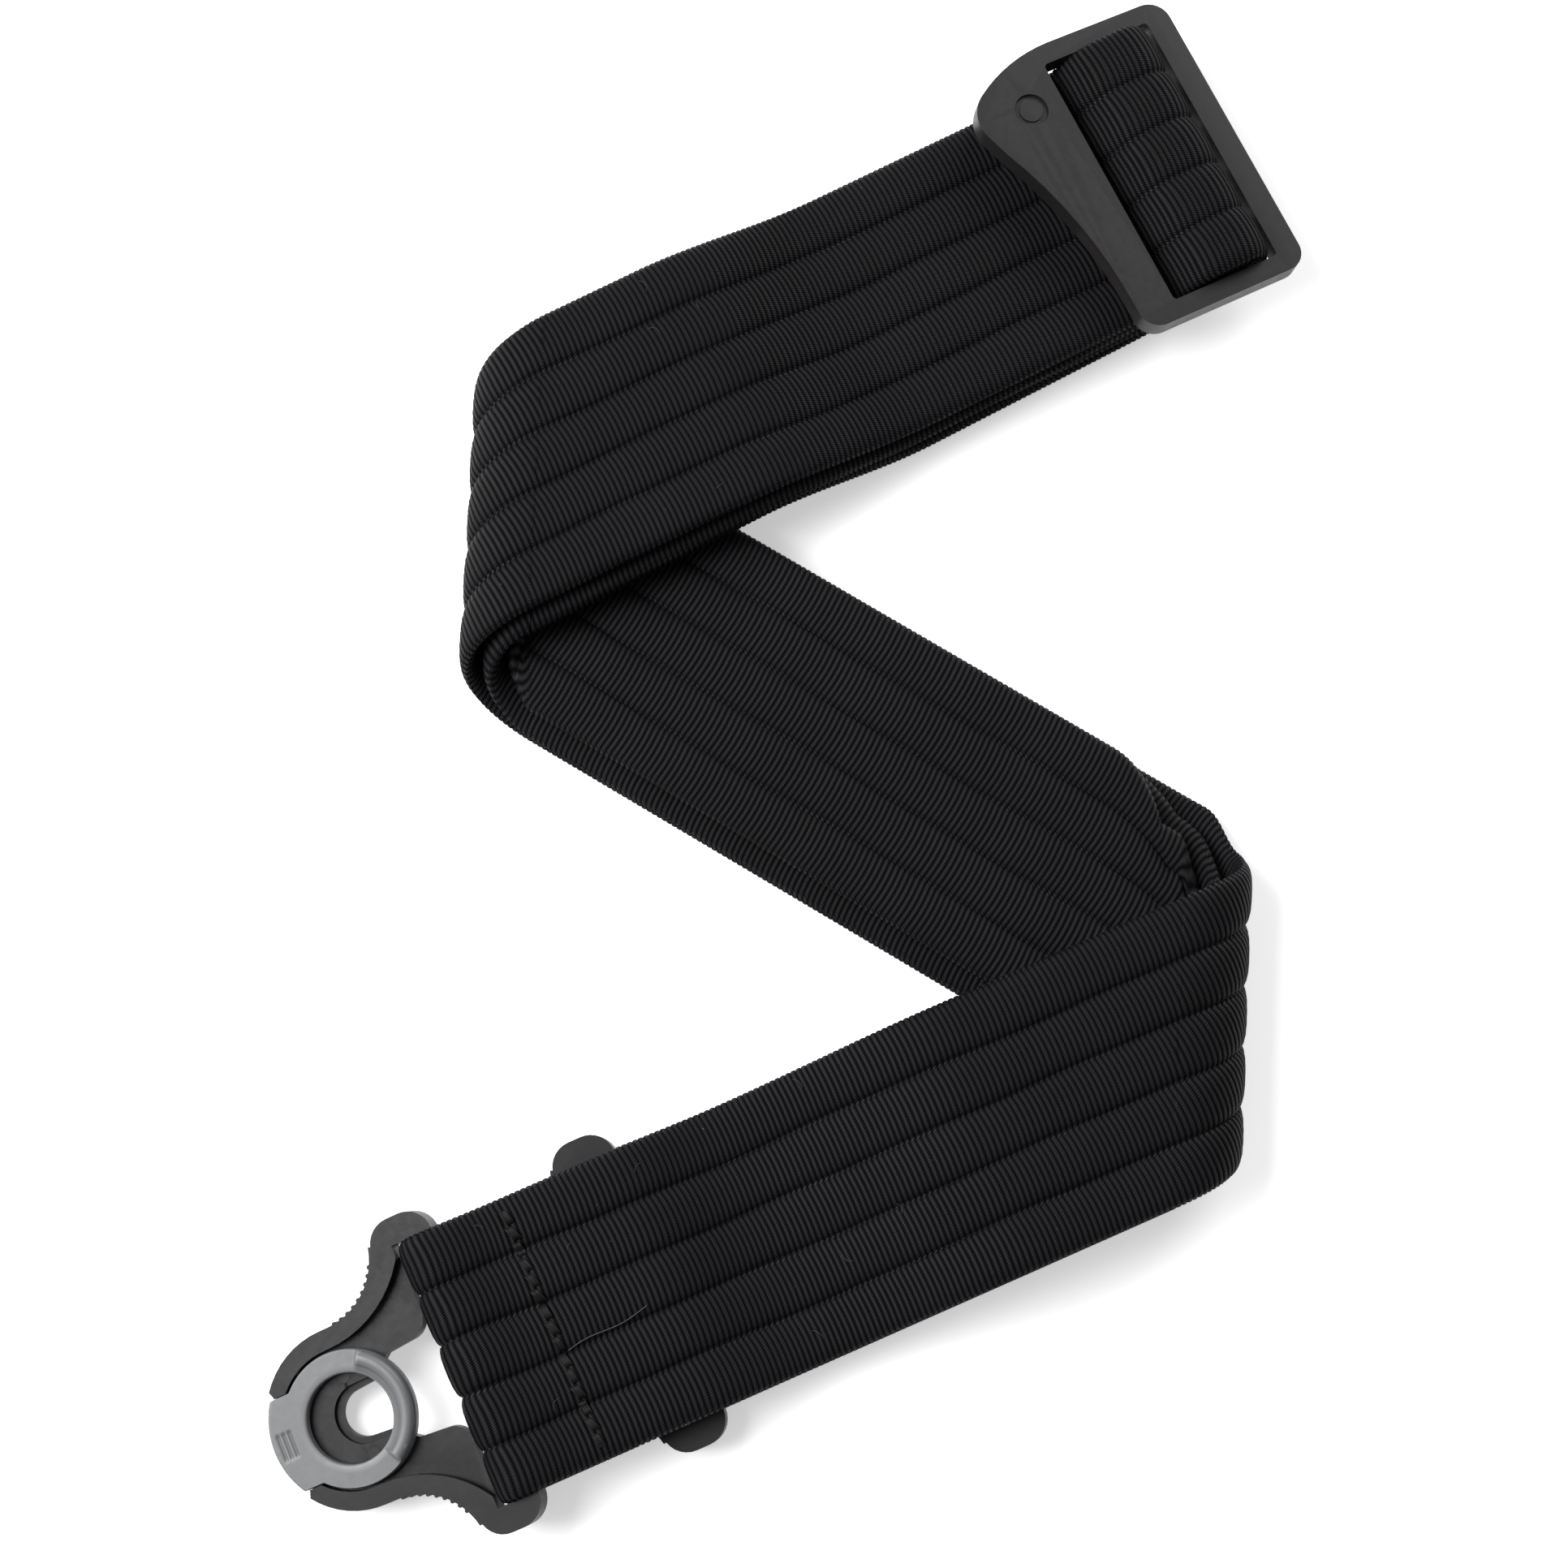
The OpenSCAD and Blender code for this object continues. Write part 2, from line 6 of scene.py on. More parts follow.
import bmesh
import bpy
import numpy as np
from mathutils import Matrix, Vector


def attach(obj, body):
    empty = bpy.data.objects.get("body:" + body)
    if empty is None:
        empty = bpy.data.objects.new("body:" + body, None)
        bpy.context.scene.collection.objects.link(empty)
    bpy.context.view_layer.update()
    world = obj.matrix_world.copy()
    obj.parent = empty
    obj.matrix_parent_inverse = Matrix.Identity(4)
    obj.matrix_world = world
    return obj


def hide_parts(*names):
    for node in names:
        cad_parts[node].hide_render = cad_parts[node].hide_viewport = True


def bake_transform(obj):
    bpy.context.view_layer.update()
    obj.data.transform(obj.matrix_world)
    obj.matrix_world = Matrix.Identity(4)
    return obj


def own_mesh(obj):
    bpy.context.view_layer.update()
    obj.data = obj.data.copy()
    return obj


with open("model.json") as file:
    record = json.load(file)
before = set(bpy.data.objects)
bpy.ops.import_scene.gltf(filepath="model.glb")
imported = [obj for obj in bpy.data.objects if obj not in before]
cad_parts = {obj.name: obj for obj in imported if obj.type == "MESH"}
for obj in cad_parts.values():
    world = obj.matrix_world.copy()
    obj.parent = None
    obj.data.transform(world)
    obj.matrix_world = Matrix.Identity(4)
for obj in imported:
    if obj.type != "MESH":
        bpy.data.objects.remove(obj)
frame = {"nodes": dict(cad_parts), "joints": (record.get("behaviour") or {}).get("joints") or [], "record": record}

random.seed(7)
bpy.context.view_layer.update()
MM = 0.001

# ---- Driving dimensions of the webbing, in millimetres (as in the CAD) ----
# A tuple holds one value for each layer: outer, centre and inner
STRAP_W = 50.8
STRAP_T = 3.3
PITCH = 3.6
CHANNELS = 5
FOLD_REACH = (12.3, 7.6, 3.2)
MIDDLE_OFFSET = (0.0, 0.0, 4.0)
UPPER_OFFSET = (0.0, -3.0, -2.5)
LEFT_CLIMB = 21.9
UPPER_LEN = 135.6
LOWER_LEN = 141.0
LOOP_T = 2.6
BAR_R = 1.95
CENTRE_BAR_W = 6.6
CENTRE_BAR_T = 2.4
TAIL_LEN = 47.7

# Pads: the half sizes of one cord, its spacing of points, and where the cords start and end on each run
PAD_HALF_W = 3.4
PAD_HALF_T = 0.66
PAD_STEP = 2.0
PAD_START = 20.0
MIDDLE_PAD_END = 52.0
UPPER_PAD_END = 81.5
LOWER_PAD_END = (LOWER_LEN - 17, 84.0, 84.0)

# ---- The look of the weave ----
RIB_PITCH = 1.13
RIB_DEPTH = 0.24
GROOVE_T = 0.95
CROWN_POWER = 3.0
CROWN_ROUND = 0.58
SELVEDGE = 0.35
RIB_BOW = 0.45

joints = {joint["name"]: joint for joint in frame["joints"]}


def place(name):
    """A joint's point in millimetres."""
    return np.array(joints[name]["pos_m"]) / MM


def left_of(direction):
    return np.array([-direction[1], direction[0]])


def measured(x, y, point, direction):
    """How far a place lies from a point in a direction."""
    return (x - point[0]) * direction[0] + (y - point[1]) * direction[1]


def unit(v):
    return np.array(v, float) / np.linalg.norm(v)


# ---- Where each run lies ----
LEFT_FOLD = place("left_fold")[:2]
RIGHT_FOLD = place("right_fold")[:2]
FOLD_Z = place("left_fold")[2]
LEFT_LINE = -np.array(joints["left_fold"]["axis"][:2])
RIGHT_LINE = -np.array(joints["right_fold"]["axis"][:2])
MIDDLE_DIR = unit(RIGHT_FOLD - LEFT_FOLD)
UPPER_DIR = -np.array(joints["adjuster_slide"]["axis"][:2])
BAR_A = place("clip_a_swing")
BAR_B = place("clip_b_swing")
LOWER_DIR = -left_of(-np.array(joints["clip_a_swing"]["axis"][:2]))
LOWER_START = BAR_A[:2] - LOWER_LEN * LOWER_DIR
UPPER_START = LEFT_FOLD + LEFT_CLIMB * LEFT_LINE
RIGHT_CLIMB = float((LOWER_START - RIGHT_FOLD) @ RIGHT_LINE)
CLIP_B_S = float((BAR_B[:2] - LOWER_START) @ LOWER_DIR)


def layer_z(i):
    return STRAP_T / 2 + i * PITCH


# ---- Side views of the runs: polylines of [distance, height] ----

def ease(t):
    """From 0 to 1, level at both ends and beyond them."""
    t = np.clip(t, 0, 1)
    return t * t * (3 - 2 * t)


def smooth_path(knots, n=24):
    points = [knots[0]]
    for a, b in zip(knots, knots[1:]):
        for i in range(1, n + 1):
            t = i / n
            points.append((a[0] + (b[0] - a[0]) * t, a[1] + (b[1] - a[1]) * ease(t)))
    return points


def arc(centre, r, start, end, n=32):
    angles = np.radians(np.linspace(start, end, n + 1))
    return [(centre[0] + r * math.cos(a), centre[1] + r * math.sin(a)) for a in angles]


def beside(points, distance):
    p = np.array(points)
    d = np.gradient(p, axis=0)
    d /= np.linalg.norm(d, axis=1)[:, None]
    return [tuple(q) for q in p + distance * np.column_stack([-d[:, 1], d[:, 0]])]


class Path:
    """A side view counted by its own length, with rounded corners."""

    def __init__(self, points, start=0.0, rounding=1.6, step=0.2):
        p = np.array(points, float)
        length = np.r_[0, np.cumsum(np.linalg.norm(np.diff(p, axis=0), axis=1))]
        keep = np.r_[True, np.diff(length) > 1e-9]
        p, length = p[keep], length[keep]
        at = np.arange(0, length[-1] + step / 2, step)
        even = np.column_stack([np.interp(at, length, p[:, k]) for k in (0, 1)])
        window = max(int(rounding / step) | 1, 3)
        kernel = np.hanning(window + 2)[1:-1]
        kernel /= kernel.sum()
        half = window // 2
        for k in (0, 1):
            ends = 2 * even[0, k] - even[half:0:-1, k], 2 * even[-1, k] - even[-2:-half - 2:-1, k]
            even[:, k] = np.convolve(np.r_[ends[0], even[:, k], ends[1]], kernel, "valid")
        self.points = even
        self.at = start + np.r_[0, np.cumsum(np.linalg.norm(np.diff(even, axis=0), axis=1))]
        slope = np.gradient(even, axis=0)
        self.slope = slope / np.linalg.norm(slope, axis=1)[:, None]
        self.end = self.at[-1]

    def __call__(self, s):
        """Distance, height and the two parts of the upward normal at length s."""
        before = np.minimum(s - self.at[0], 0)
        x = np.interp(s, self.at, self.points[:, 0]) + before
        z = np.interp(s, self.at, self.points[:, 1])
        tx = np.interp(s, self.at, self.slope[:, 0])
        tz = np.interp(s, self.at, self.slope[:, 1])
        norm = np.hypot(tx, tz)
        return x, z, -tz / norm, tx / norm

    def length_at(self, distance, last=False):
        """The length at which the side view passes a distance, for the first or the last time."""
        passed = np.nonzero(np.diff(np.sign(self.points[:, 0] - distance)))[0]
        k = passed[-1 if last else 0]
        a, b = self.points[k:k + 2, 0]
        return float(self.at[k] + (distance - a) / (b - a) * (self.at[k + 1] - self.at[k]))


# Each run leaves its fold flat, then its three layers sink from START to END to the height of its fittings
FLAT = 20.0
UPPER_SINK_START = 34.0
UPPER_SINK_END = 72.0
LOWER_SINK_START = 38.0
LOWER_SINK_END = 84.0
UPPER_Z = (layer_z(5), layer_z(4), layer_z(3))
UPPER_END_Z = (layer_z(3), layer_z(2), layer_z(0))
TAKE_UP_END = UPPER_LEN - 30


def upper_knots(i):
    return [(FLAT, UPPER_Z[i]), (UPPER_SINK_START, UPPER_Z[i]),
            (UPPER_SINK_END, UPPER_END_Z[i]), (TAKE_UP_END, UPPER_END_Z[i])]


# The adjuster's centre bar, and the two lengths that turn round it
CENTRE_BAR_Z = 13.7
CENTRE_BAR_S = UPPER_LEN + 2.4
TURN_LEAD = 1.2
TURN_SPREAD = 2.2
bar_half = (CENTRE_BAR_W - CENTRE_BAR_T) / 2


def bar_turn(distance):
    r = CENTRE_BAR_T / 2 + distance
    far = CENTRE_BAR_S + bar_half
    near = CENTRE_BAR_S - bar_half - TURN_LEAD
    return [(near, CENTRE_BAR_Z + r)] + arc((far, CENTRE_BAR_Z), r, 90, -90) + [(near, CENTRE_BAR_Z - r)]


rise_s = UPPER_LEN - 11.6
knee_s = UPPER_LEN - 18.6
inner_round = bar_turn(LOOP_T / 2 + 0.05)
inner_turn = (smooth_path([(rise_s, layer_z(2)), inner_round[0]], 8) + inner_round[1:-1]
              + smooth_path([inner_round[-1], (rise_s, layer_z(1))], 8))
outer_turn = beside(inner_turn, LOOP_T + 0.35)
knee_top = (knee_s, layer_z(3))
knee_bottom = (knee_s, layer_z(0))
outer_path = Path(smooth_path(upper_knots(0) + [knee_top, outer_turn[0]]) + outer_turn[1:-1]
                  + smooth_path([outer_turn[-1], knee_bottom, (TAKE_UP_END, layer_z(0))]), FLAT)
centre_path = Path(smooth_path(upper_knots(1) + [(rise_s, layer_z(2))]) + inner_turn[1:]
                   + [(UPPER_LEN - TAIL_LEN, layer_z(1))], FLAT)
inner_path = Path(smooth_path(upper_knots(2) + [knee_bottom, outer_turn[-1]]), FLAT)
upper_paths = [outer_path, centre_path, inner_path]

# The lower run: the top layer goes round clip A's crossbar, the other two are one length round clip B's
LOOP_MEAN = BAR_R + 0.05 + STRAP_T / 2
LOOP_OUTER = LOOP_MEAN + STRAP_T / 2
OVER_CLIP_B_Z = 2 * LOOP_OUTER + STRAP_T / 2 + 0.35
STITCH_S = LOWER_LEN - 14
RETURN_END_S = LOWER_LEN - 22
lower_top_knots = [(FLAT, layer_z(5)), (LOWER_SINK_START, layer_z(5)), (LOWER_SINK_END, layer_z(2)),
                   (CLIP_B_S, OVER_CLIP_B_Z), (LOWER_LEN - 13, OVER_CLIP_B_Z - 0.3),
                   (LOWER_LEN, BAR_A[2] + LOOP_MEAN)]
lower_top_path = Path(smooth_path(lower_top_knots) + arc((LOWER_LEN, BAR_A[2]), LOOP_MEAN, 90, -90)
                      + smooth_path([(LOWER_LEN, BAR_A[2] - LOOP_MEAN), (RETURN_END_S, 9)]), FLAT)


def lower_loop_knots(side):
    first, last = (layer_z(4), layer_z(1)) if side > 0 else (layer_z(3), layer_z(0))
    return [(FLAT, first), (LOWER_SINK_START, first), (LOWER_SINK_END, last),
            (CLIP_B_S, BAR_B[2] + side * LOOP_MEAN)]


lower_centre_path = Path(smooth_path(lower_loop_knots(1))
                         + arc((CLIP_B_S, BAR_B[2]), LOOP_MEAN, 90, -90), FLAT)
lower_inner_path = Path(smooth_path(lower_loop_knots(-1)), FLAT)
lower_paths = [lower_top_path, lower_centre_path, lower_inner_path]


# ---- One continuous mapping for each of the three layers ----

class Fold:
    """Half an ellipse round the fold line, entered from the flat middle run."""

    def __init__(self, point, line, reach, rise, inward_dir, offsets, climb, run_dir):
        self.point = point
        self.line = line
        self.out = left_of(line)
        self.reach = reach
        self.rise = rise
        angles = np.radians(np.linspace(-90, 90, 181))
        x = reach * np.cos(angles)
        z = rise * np.sin(angles)
        self.angles = angles
        self.lengths = np.r_[0, np.cumsum(np.hypot(np.diff(x), np.diff(z)))]
        self.length = self.lengths[-1]
        travel_out = float(inward_dir @ self.out)
        travel_along = float(inward_dir @ line)
        self.travel_out = travel_out
        enter = -offsets[0] / self.sine(MIDDLE_DIR, line)
        leave = climb - offsets[1] / self.sine(run_dir, line)
        self.extra = leave - enter - self.length * travel_along / travel_out

    @staticmethod
    def sine(run_dir, line):
        """The sine of the angle from the fold line to a run."""
        return float(line[0] * run_dir[1] - line[1] * run_dir[0])

    def along(self, x, y):
        return measured(x, y, self.point, self.line)

    def beyond(self, x, y):
        return measured(x, y, self.point, self.out)

    def on_arc(self, x, y, h):
        """A point of the turn, h inside it, from its place in the middle run's plan."""
        d = self.beyond(x, y)
        a = np.interp(d, self.lengths, self.angles)
        along = self.along(x, y) + self.extra * ease(d / self.length)
        nx = self.rise * np.cos(a)
        nz = self.reach * np.sin(a)
        norm = np.hypot(nx, nz)
        out = self.reach * np.cos(a) - h * nx / norm
        z = FOLD_Z + self.rise * np.sin(a) - h * nz / norm
        x = self.point[0] + along * self.line[0] + out * self.out[0]
        y = self.point[1] + along * self.line[1] + out * self.out[1]
        return x, y, z

    def past(self, x, y):
        """Where a place in the middle run's plan comes to lie on the flat run beyond the fold."""
        along = self.along(x, y) + self.extra
        back = self.beyond(x, y) - self.length
        x = self.point[0] + along * self.line[0] - back * self.out[0]
        y = self.point[1] + along * self.line[1] - back * self.out[1]
        return x, y


def on_run(start, direction, sideways, path, s, across, h):
    """A point on a run: s along it, across it, and h below the webbing's middle."""
    along, z, nx, nz = path(s)
    along = along - h * nx
    x = start[0] + along * direction[0] + across * sideways[0]
    y = start[1] + along * direction[1] + across * sideways[1]
    return x, y, z - h * nz


FEED_END_S = UPPER_LEN - 15
MIDDLE_SIDE = left_of(MIDDLE_DIR)
UPPER_SIDE = left_of(UPPER_DIR)
LOWER_SIDE = -left_of(LOWER_DIR)


def on_upper(i, s, v, h):
    across = v + UPPER_OFFSET[i] * np.clip(1 - s / FEED_END_S, 0, 2)
    return on_run(UPPER_START, UPPER_DIR, UPPER_SIDE, upper_paths[i], s, across, h)


def on_lower(i, s, v, h):
    return on_run(LOWER_START, LOWER_DIR, LOWER_SIDE, lower_paths[i], s, v, h)


class Layer:
    """One of the three layers, counted by u along the middle run and on past both folds."""

    def __init__(self, i, name):
        self.i = i
        self.name = name
        rise = PITCH * (2.5 - i)
        self.left = Fold(LEFT_FOLD, LEFT_LINE, FOLD_REACH[i], rise, -MIDDLE_DIR,
                         (MIDDLE_OFFSET[i], UPPER_OFFSET[i]), LEFT_CLIMB, UPPER_DIR)
        self.right = Fold(RIGHT_FOLD, RIGHT_LINE, FOLD_REACH[i], rise, MIDDLE_DIR,
                          (MIDDLE_OFFSET[i], 0.0), RIGHT_CLIMB, LOWER_DIR)

    def plan(self, u, v):
        across = v + MIDDLE_OFFSET[self.i]
        x = u * MIDDLE_DIR[0] + across * MIDDLE_SIDE[0]
        y = u * MIDDLE_DIR[1] + across * MIDDLE_SIDE[1]
        return x, y

    def line_u(self, fold, v, at_end):
        """The value of u where a fold starts or ends, for each v."""
        sign = 1 if fold is self.right else -1
        x, y = self.plan(0.0, v)
        u = -fold.beyond(x, y) / (sign * fold.travel_out)
        return u + sign * (fold.length / fold.travel_out if at_end else 0.0)

    def upper_s(self, u, v=0.0):
        """The length along the upper run."""
        return measured(*self.left.past(*self.plan(u, v)), UPPER_START, UPPER_DIR)

    def lower_s(self, u, v=0.0):
        """The length along the lower run."""
        return measured(*self.right.past(*self.plan(u, v)), LOWER_START, LOWER_DIR)

    def middle_point(self, u, v, h):
        x, y = self.plan(u, v)
        return x, y, layer_z(self.i) + h

    def left_point(self, u, v, h):
        return self.left.on_arc(*self.plan(u, v), h)

    def right_point(self, u, v, h):
        return self.right.on_arc(*self.plan(u, v), h)

    def upper_point(self, u, v, h):
        return on_upper(self.i, self.upper_s(u, v), v, h)

    def lower_point(self, u, v, h):
        return on_lower(self.i, self.lower_s(u, v), v, h)


layers = [Layer(0, "outer"), Layer(1, "centre"), Layer(2, "inner")]


# ---- The woven strip ----

CHANNEL_STEPS = (-1.0, -0.93, -0.8, -0.55, -0.2, 0.2, 0.55, 0.8, 0.93)
RIB_STEPS = ((0.0, 0.0), (0.14, 0.66), (0.38, 0.97), (0.62, 0.97), (0.86, 0.66))


def columns():
    """Every column's place across the strap, its place in its channel, and its channel's number."""
    width = STRAP_W / CHANNELS
    v = []
    w = []
    channel = []
    for c in range(CHANNELS):
        for step in CHANNEL_STEPS:
            v.append((c + 0.5 + step / 2) * width - STRAP_W / 2)
            w.append(step)
            channel.append(c)
    v.append(STRAP_W / 2)
    w.append(1.0)
    channel.append(CHANNELS - 1)
    return np.array(v), np.array(w), np.array(channel)


def rib_rows(start, end, phase=None):
    """Rows through the ribs between two lengths, and the ribs' pitch."""
    if phase is None:
        count = max(round((end - start) / RIB_PITCH), 1)
        pitch = (end - start) / count
        first = start
    else:
        pitch = RIB_PITCH
        first = phase + math.floor((start - phase) / pitch) * pitch
        count = math.ceil((end - first) / pitch)
    rows = [first + (k + step) * pitch for k in range(count) for step, _ in RIB_STEPS]
    return np.array(rows + [first + count * pitch]), pitch


def add_object(name, data):
    obj = bpy.data.objects.new(name, data)
    bpy.context.scene.collection.objects.link(obj)
    return obj


def new_object(name, points, faces, uv=None):
    """A smooth-shaded object from points and faces."""
    mesh = bpy.data.meshes.new(name)
    mesh.from_pydata(points.tolist(), [], faces)
    if uv is not None:
        layer = mesh.uv_layers.new(name="strap")
        loops = np.zeros(len(mesh.loops), np.int32)
        mesh.loops.foreach_get("vertex_index", loops)
        layer.data.foreach_set("uv", uv[loops].astype(np.float32).ravel())
    mesh.update()
    mesh.shade_smooth()
    return add_object(name, mesh)


def between_rows(first, last, count, loop):
    """Faces between the rows of points. Past a slanted end, rows collapse onto it and leave triangles."""
    index = np.clip(np.arange(count)[:, None], first[None, :], last[None, :]) * loop + np.arange(loop)
    around = (np.arange(loop) + 1) % loop
    here = index[:-1]
    there = index[1:]
    quads = np.stack([here, here[:, around], there[:, around], there], -1).reshape(-1, 4)
    flat = (quads[:, 0] == quads[:, 3]) & (quads[:, 1] == quads[:, 2])
    faces = []
    for quad in quads[~flat].tolist():
        if quad[0] == quad[3]:
            faces.append(quad[:3])
        elif quad[1] == quad[2]:
            faces.append([quad[0], quad[1], quad[3]])
        else:
            faces.append(quad)
    return faces


def end_caps(rows, across, flip):
    """Faces that close an end, given the row at which each column ends."""
    ids = rows * len(rows) + np.arange(len(rows))
    top = ids[:across]
    bottom = ids[across + 1:2 * across + 1][::-1]
    caps = [[top[j], bottom[j], bottom[j + 1], top[j + 1]] for j in range(across - 1)]
    caps.append([top[0], ids[-1], bottom[0]])
    caps.append([top[-1], bottom[-1], ids[across]])
    return [[int(n) for n in (cap[::-1] if flip else cap)] for cap in caps]


def only_used(points, uv, faces):
    """Leaves out the points that no face uses."""
    used = np.unique(np.concatenate([np.array(face) for face in faces]))
    renumber = np.full(len(points), -1)
    renumber[used] = np.arange(len(used))
    return points[used], uv[used], [[int(renumber[n]) for n in face] for face in faces]


def outward_normals(mesh, caps=0):
    """All normals outward, and hard edges round the last faces where they are a strip's caps."""
    work = bmesh.new()
    work.from_mesh(mesh)
    work.faces.ensure_lookup_table()
    ends = set(work.faces[len(work.faces) - caps:])
    for face in ends:
        for edge in face.edges:
            edge.smooth = all(other in ends for other in edge.link_faces)
    bmesh.ops.recalc_face_normals(work, faces=work.faces)
    work.to_mesh(mesh)
    work.free()


def strip(name, rows, to_xyz, low=None, high=None, bow=1.0, thickness=None, mirror=None, draw_in=None,
          groove_t=None):
    """A closed woven strip: both faces, rounded edges and both ends. low and high give the ends
    for each column, where they are slanted. mirror carries the weave's small irregularities on
    from a piece that counts its length the other way. draw_in moves the columns sideways and
    groove_t thickens the grooves, both along the length."""
    u, pitch = rows
    v, w, channel = columns()
    across = len(v)
    shift = bow * RIB_BOW * (0.55 - w * w - 0.25 * w)
    bowed = u[:, None] + shift[None, :]
    loose = (np.abs(v) < STRAP_W / 2 - 0.2) * (1 - 0.3 * np.abs(w))

    def wandered(at):
        """Each column's place across the strap, which is never quite straight."""
        place_u = at if mirror is None else mirror - at
        moved = 0.0 if draw_in is None else draw_in(at, v)
        return v - moved + loose * (0.22 * np.sin(place_u / 11.0 + 1.3 * channel)
                                    + 0.16 * np.sin(place_u / 4.7 + 2.1 * channel))

    def cut(line):
        """A slanted end that stays on its line for the wandering columns."""
        at = line(v)
        for _ in range(3):
            at = line(wandered(at))
        return at

    low = bowed[0] if low is None else cut(low)
    high = bowed[-1] if high is None else cut(high)
    at = np.clip(bowed, low[None, :], high[None, :])
    vv = wandered(at)
    place_u = at if mirror is None else mirror - at
    swell = 1 + 0.05 * np.sin(place_u / 7.3 + 2.4 * channel) + 0.04 * np.sin(place_u / 3.1 + channel)
    half = STRAP_T / 2 if thickness is None else thickness(at) / 2
    groove = GROOVE_T / 2 if groove_t is None else groove_t(at) / 2
    crown = (1 - np.abs(w) ** CROWN_POWER) ** CROWN_ROUND
    body = groove + (half - groove) * crown[None, :] * swell
    ribs = (at - shift - u[0]) / pitch
    rib = np.interp(ribs % 1, *zip(*RIB_STEPS, (1.0, 0.0)))
    height = body - RIB_DEPTH + RIB_DEPTH * rib * (0.6 + 0.4 * crown)[None, :]
    above = to_xyz(at, vv, height)
    below = to_xyz(at, vv, -height)
    left = to_xyz(at[:, 0], vv[:, 0] - SELVEDGE * (0.5 + 0.7 * rib[:, 0]), 0 * at[:, 0])
    right = to_xyz(at[:, -1], vv[:, -1] + SELVEDGE * (0.5 + 0.7 * rib[:, -1]), 0 * at[:, -1])
    loop = 2 * across + 2
    grid = np.zeros((len(u), loop, 3))
    for k in range(3):
        grid[:, :across, k] = above[k]
        grid[:, across, k] = right[k]
        grid[:, across + 1:2 * across + 1, k] = below[k][:, ::-1]
        grid[:, -1, k] = left[k]
    column = np.r_[np.arange(across), across - 1, np.arange(across)[::-1], 0]
    uv = np.zeros((len(u), loop, 2))
    uv[:, :, 0] = (ribs * RIB_PITCH)[:, column] / 100
    uv[:, :, 1] = v[column][None, :] / 100
    at_loop = at[:, column]
    first = (at_loop <= low[column][None, :] + 1e-6).sum(0) - 1
    last = len(u) - (at_loop >= high[column][None, :] - 1e-6).sum(0)
    first = np.maximum(first, 0)
    last = np.minimum(np.maximum(last, first + 1), len(u) - 1)
    caps = end_caps(first, across, False) + end_caps(last, across, True)
    faces = between_rows(first, last, len(u), loop) + caps
    points, uv, faces = only_used(grid.reshape(-1, 3) * MM, uv.reshape(-1, 2), faces)
    obj = new_object(name, points, faces, uv)
    outward_normals(obj.data, len(caps))
    obj.data.materials.append(webbing)
    return obj


# ---- Materials ----

def new_material(name):
    material = bpy.data.materials.new(name)
    material.use_nodes = True
    tree = material.node_tree
    return material, tree, tree.nodes["Principled BSDF"]


def node(tree, kind, **settings):
    made = tree.nodes.new("ShaderNode" + kind)
    for key, value in settings.items():
        setattr(made, key, value)
    return made


def object_place(tree):
    return node(tree, "TexCoord").outputs["Object"]


def noise(tree, coordinates, scale, detail=3.0, roughness=0.55):
    made = node(tree, "TexNoise")
    made.inputs["Scale"].default_value = scale
    made.inputs["Detail"].default_value = detail
    made.inputs["Roughness"].default_value = roughness
    tree.links.new(coordinates, made.inputs["Vector"])
    return made.outputs["Fac"]


def ramp(tree, value, stops):
    made = node(tree, "ValToRGB")
    made.color_ramp.elements[0].position = stops[0][0]
    made.color_ramp.elements[0].color = (*stops[0][1], 1)
    made.color_ramp.elements[1].position = stops[-1][0]
    made.color_ramp.elements[1].color = (*stops[-1][1], 1)
    for position, colour in stops[1:-1]:
        made.color_ramp.elements.new(position).color = (*colour, 1)
    tree.links.new(value, made.inputs["Fac"])
    return made.outputs["Color"]


def feed(tree, socket, value):
    """Gives a socket a number or a colour, or links another socket to it."""
    if isinstance(value, bpy.types.NodeSocket):
        tree.links.new(value, socket)
    else:
        socket.default_value = (*value, 1) if isinstance(value, tuple) else value


def maths(tree, operation, a, b=0.0):
    made = node(tree, "Math", operation=operation)
    feed(tree, made.inputs[0], a)
    feed(tree, made.inputs[1], b)
    return made.outputs[0]


def mix(tree, factor, a, b):
    made = node(tree, "Mix", data_type="RGBA")
    for slot, value in ((0, factor), (6, a), (7, b)):
        feed(tree, made.inputs[slot], value)
    return made.outputs[2]


def bump(tree, height, strength, distance, before=None):
    made = node(tree, "Bump")
    made.inputs["Strength"].default_value = strength
    made.inputs["Distance"].default_value = distance
    tree.links.new(height, made.inputs["Height"])
    if before is not None:
        tree.links.new(before, made.inputs["Normal"])
    return made.outputs["Normal"]


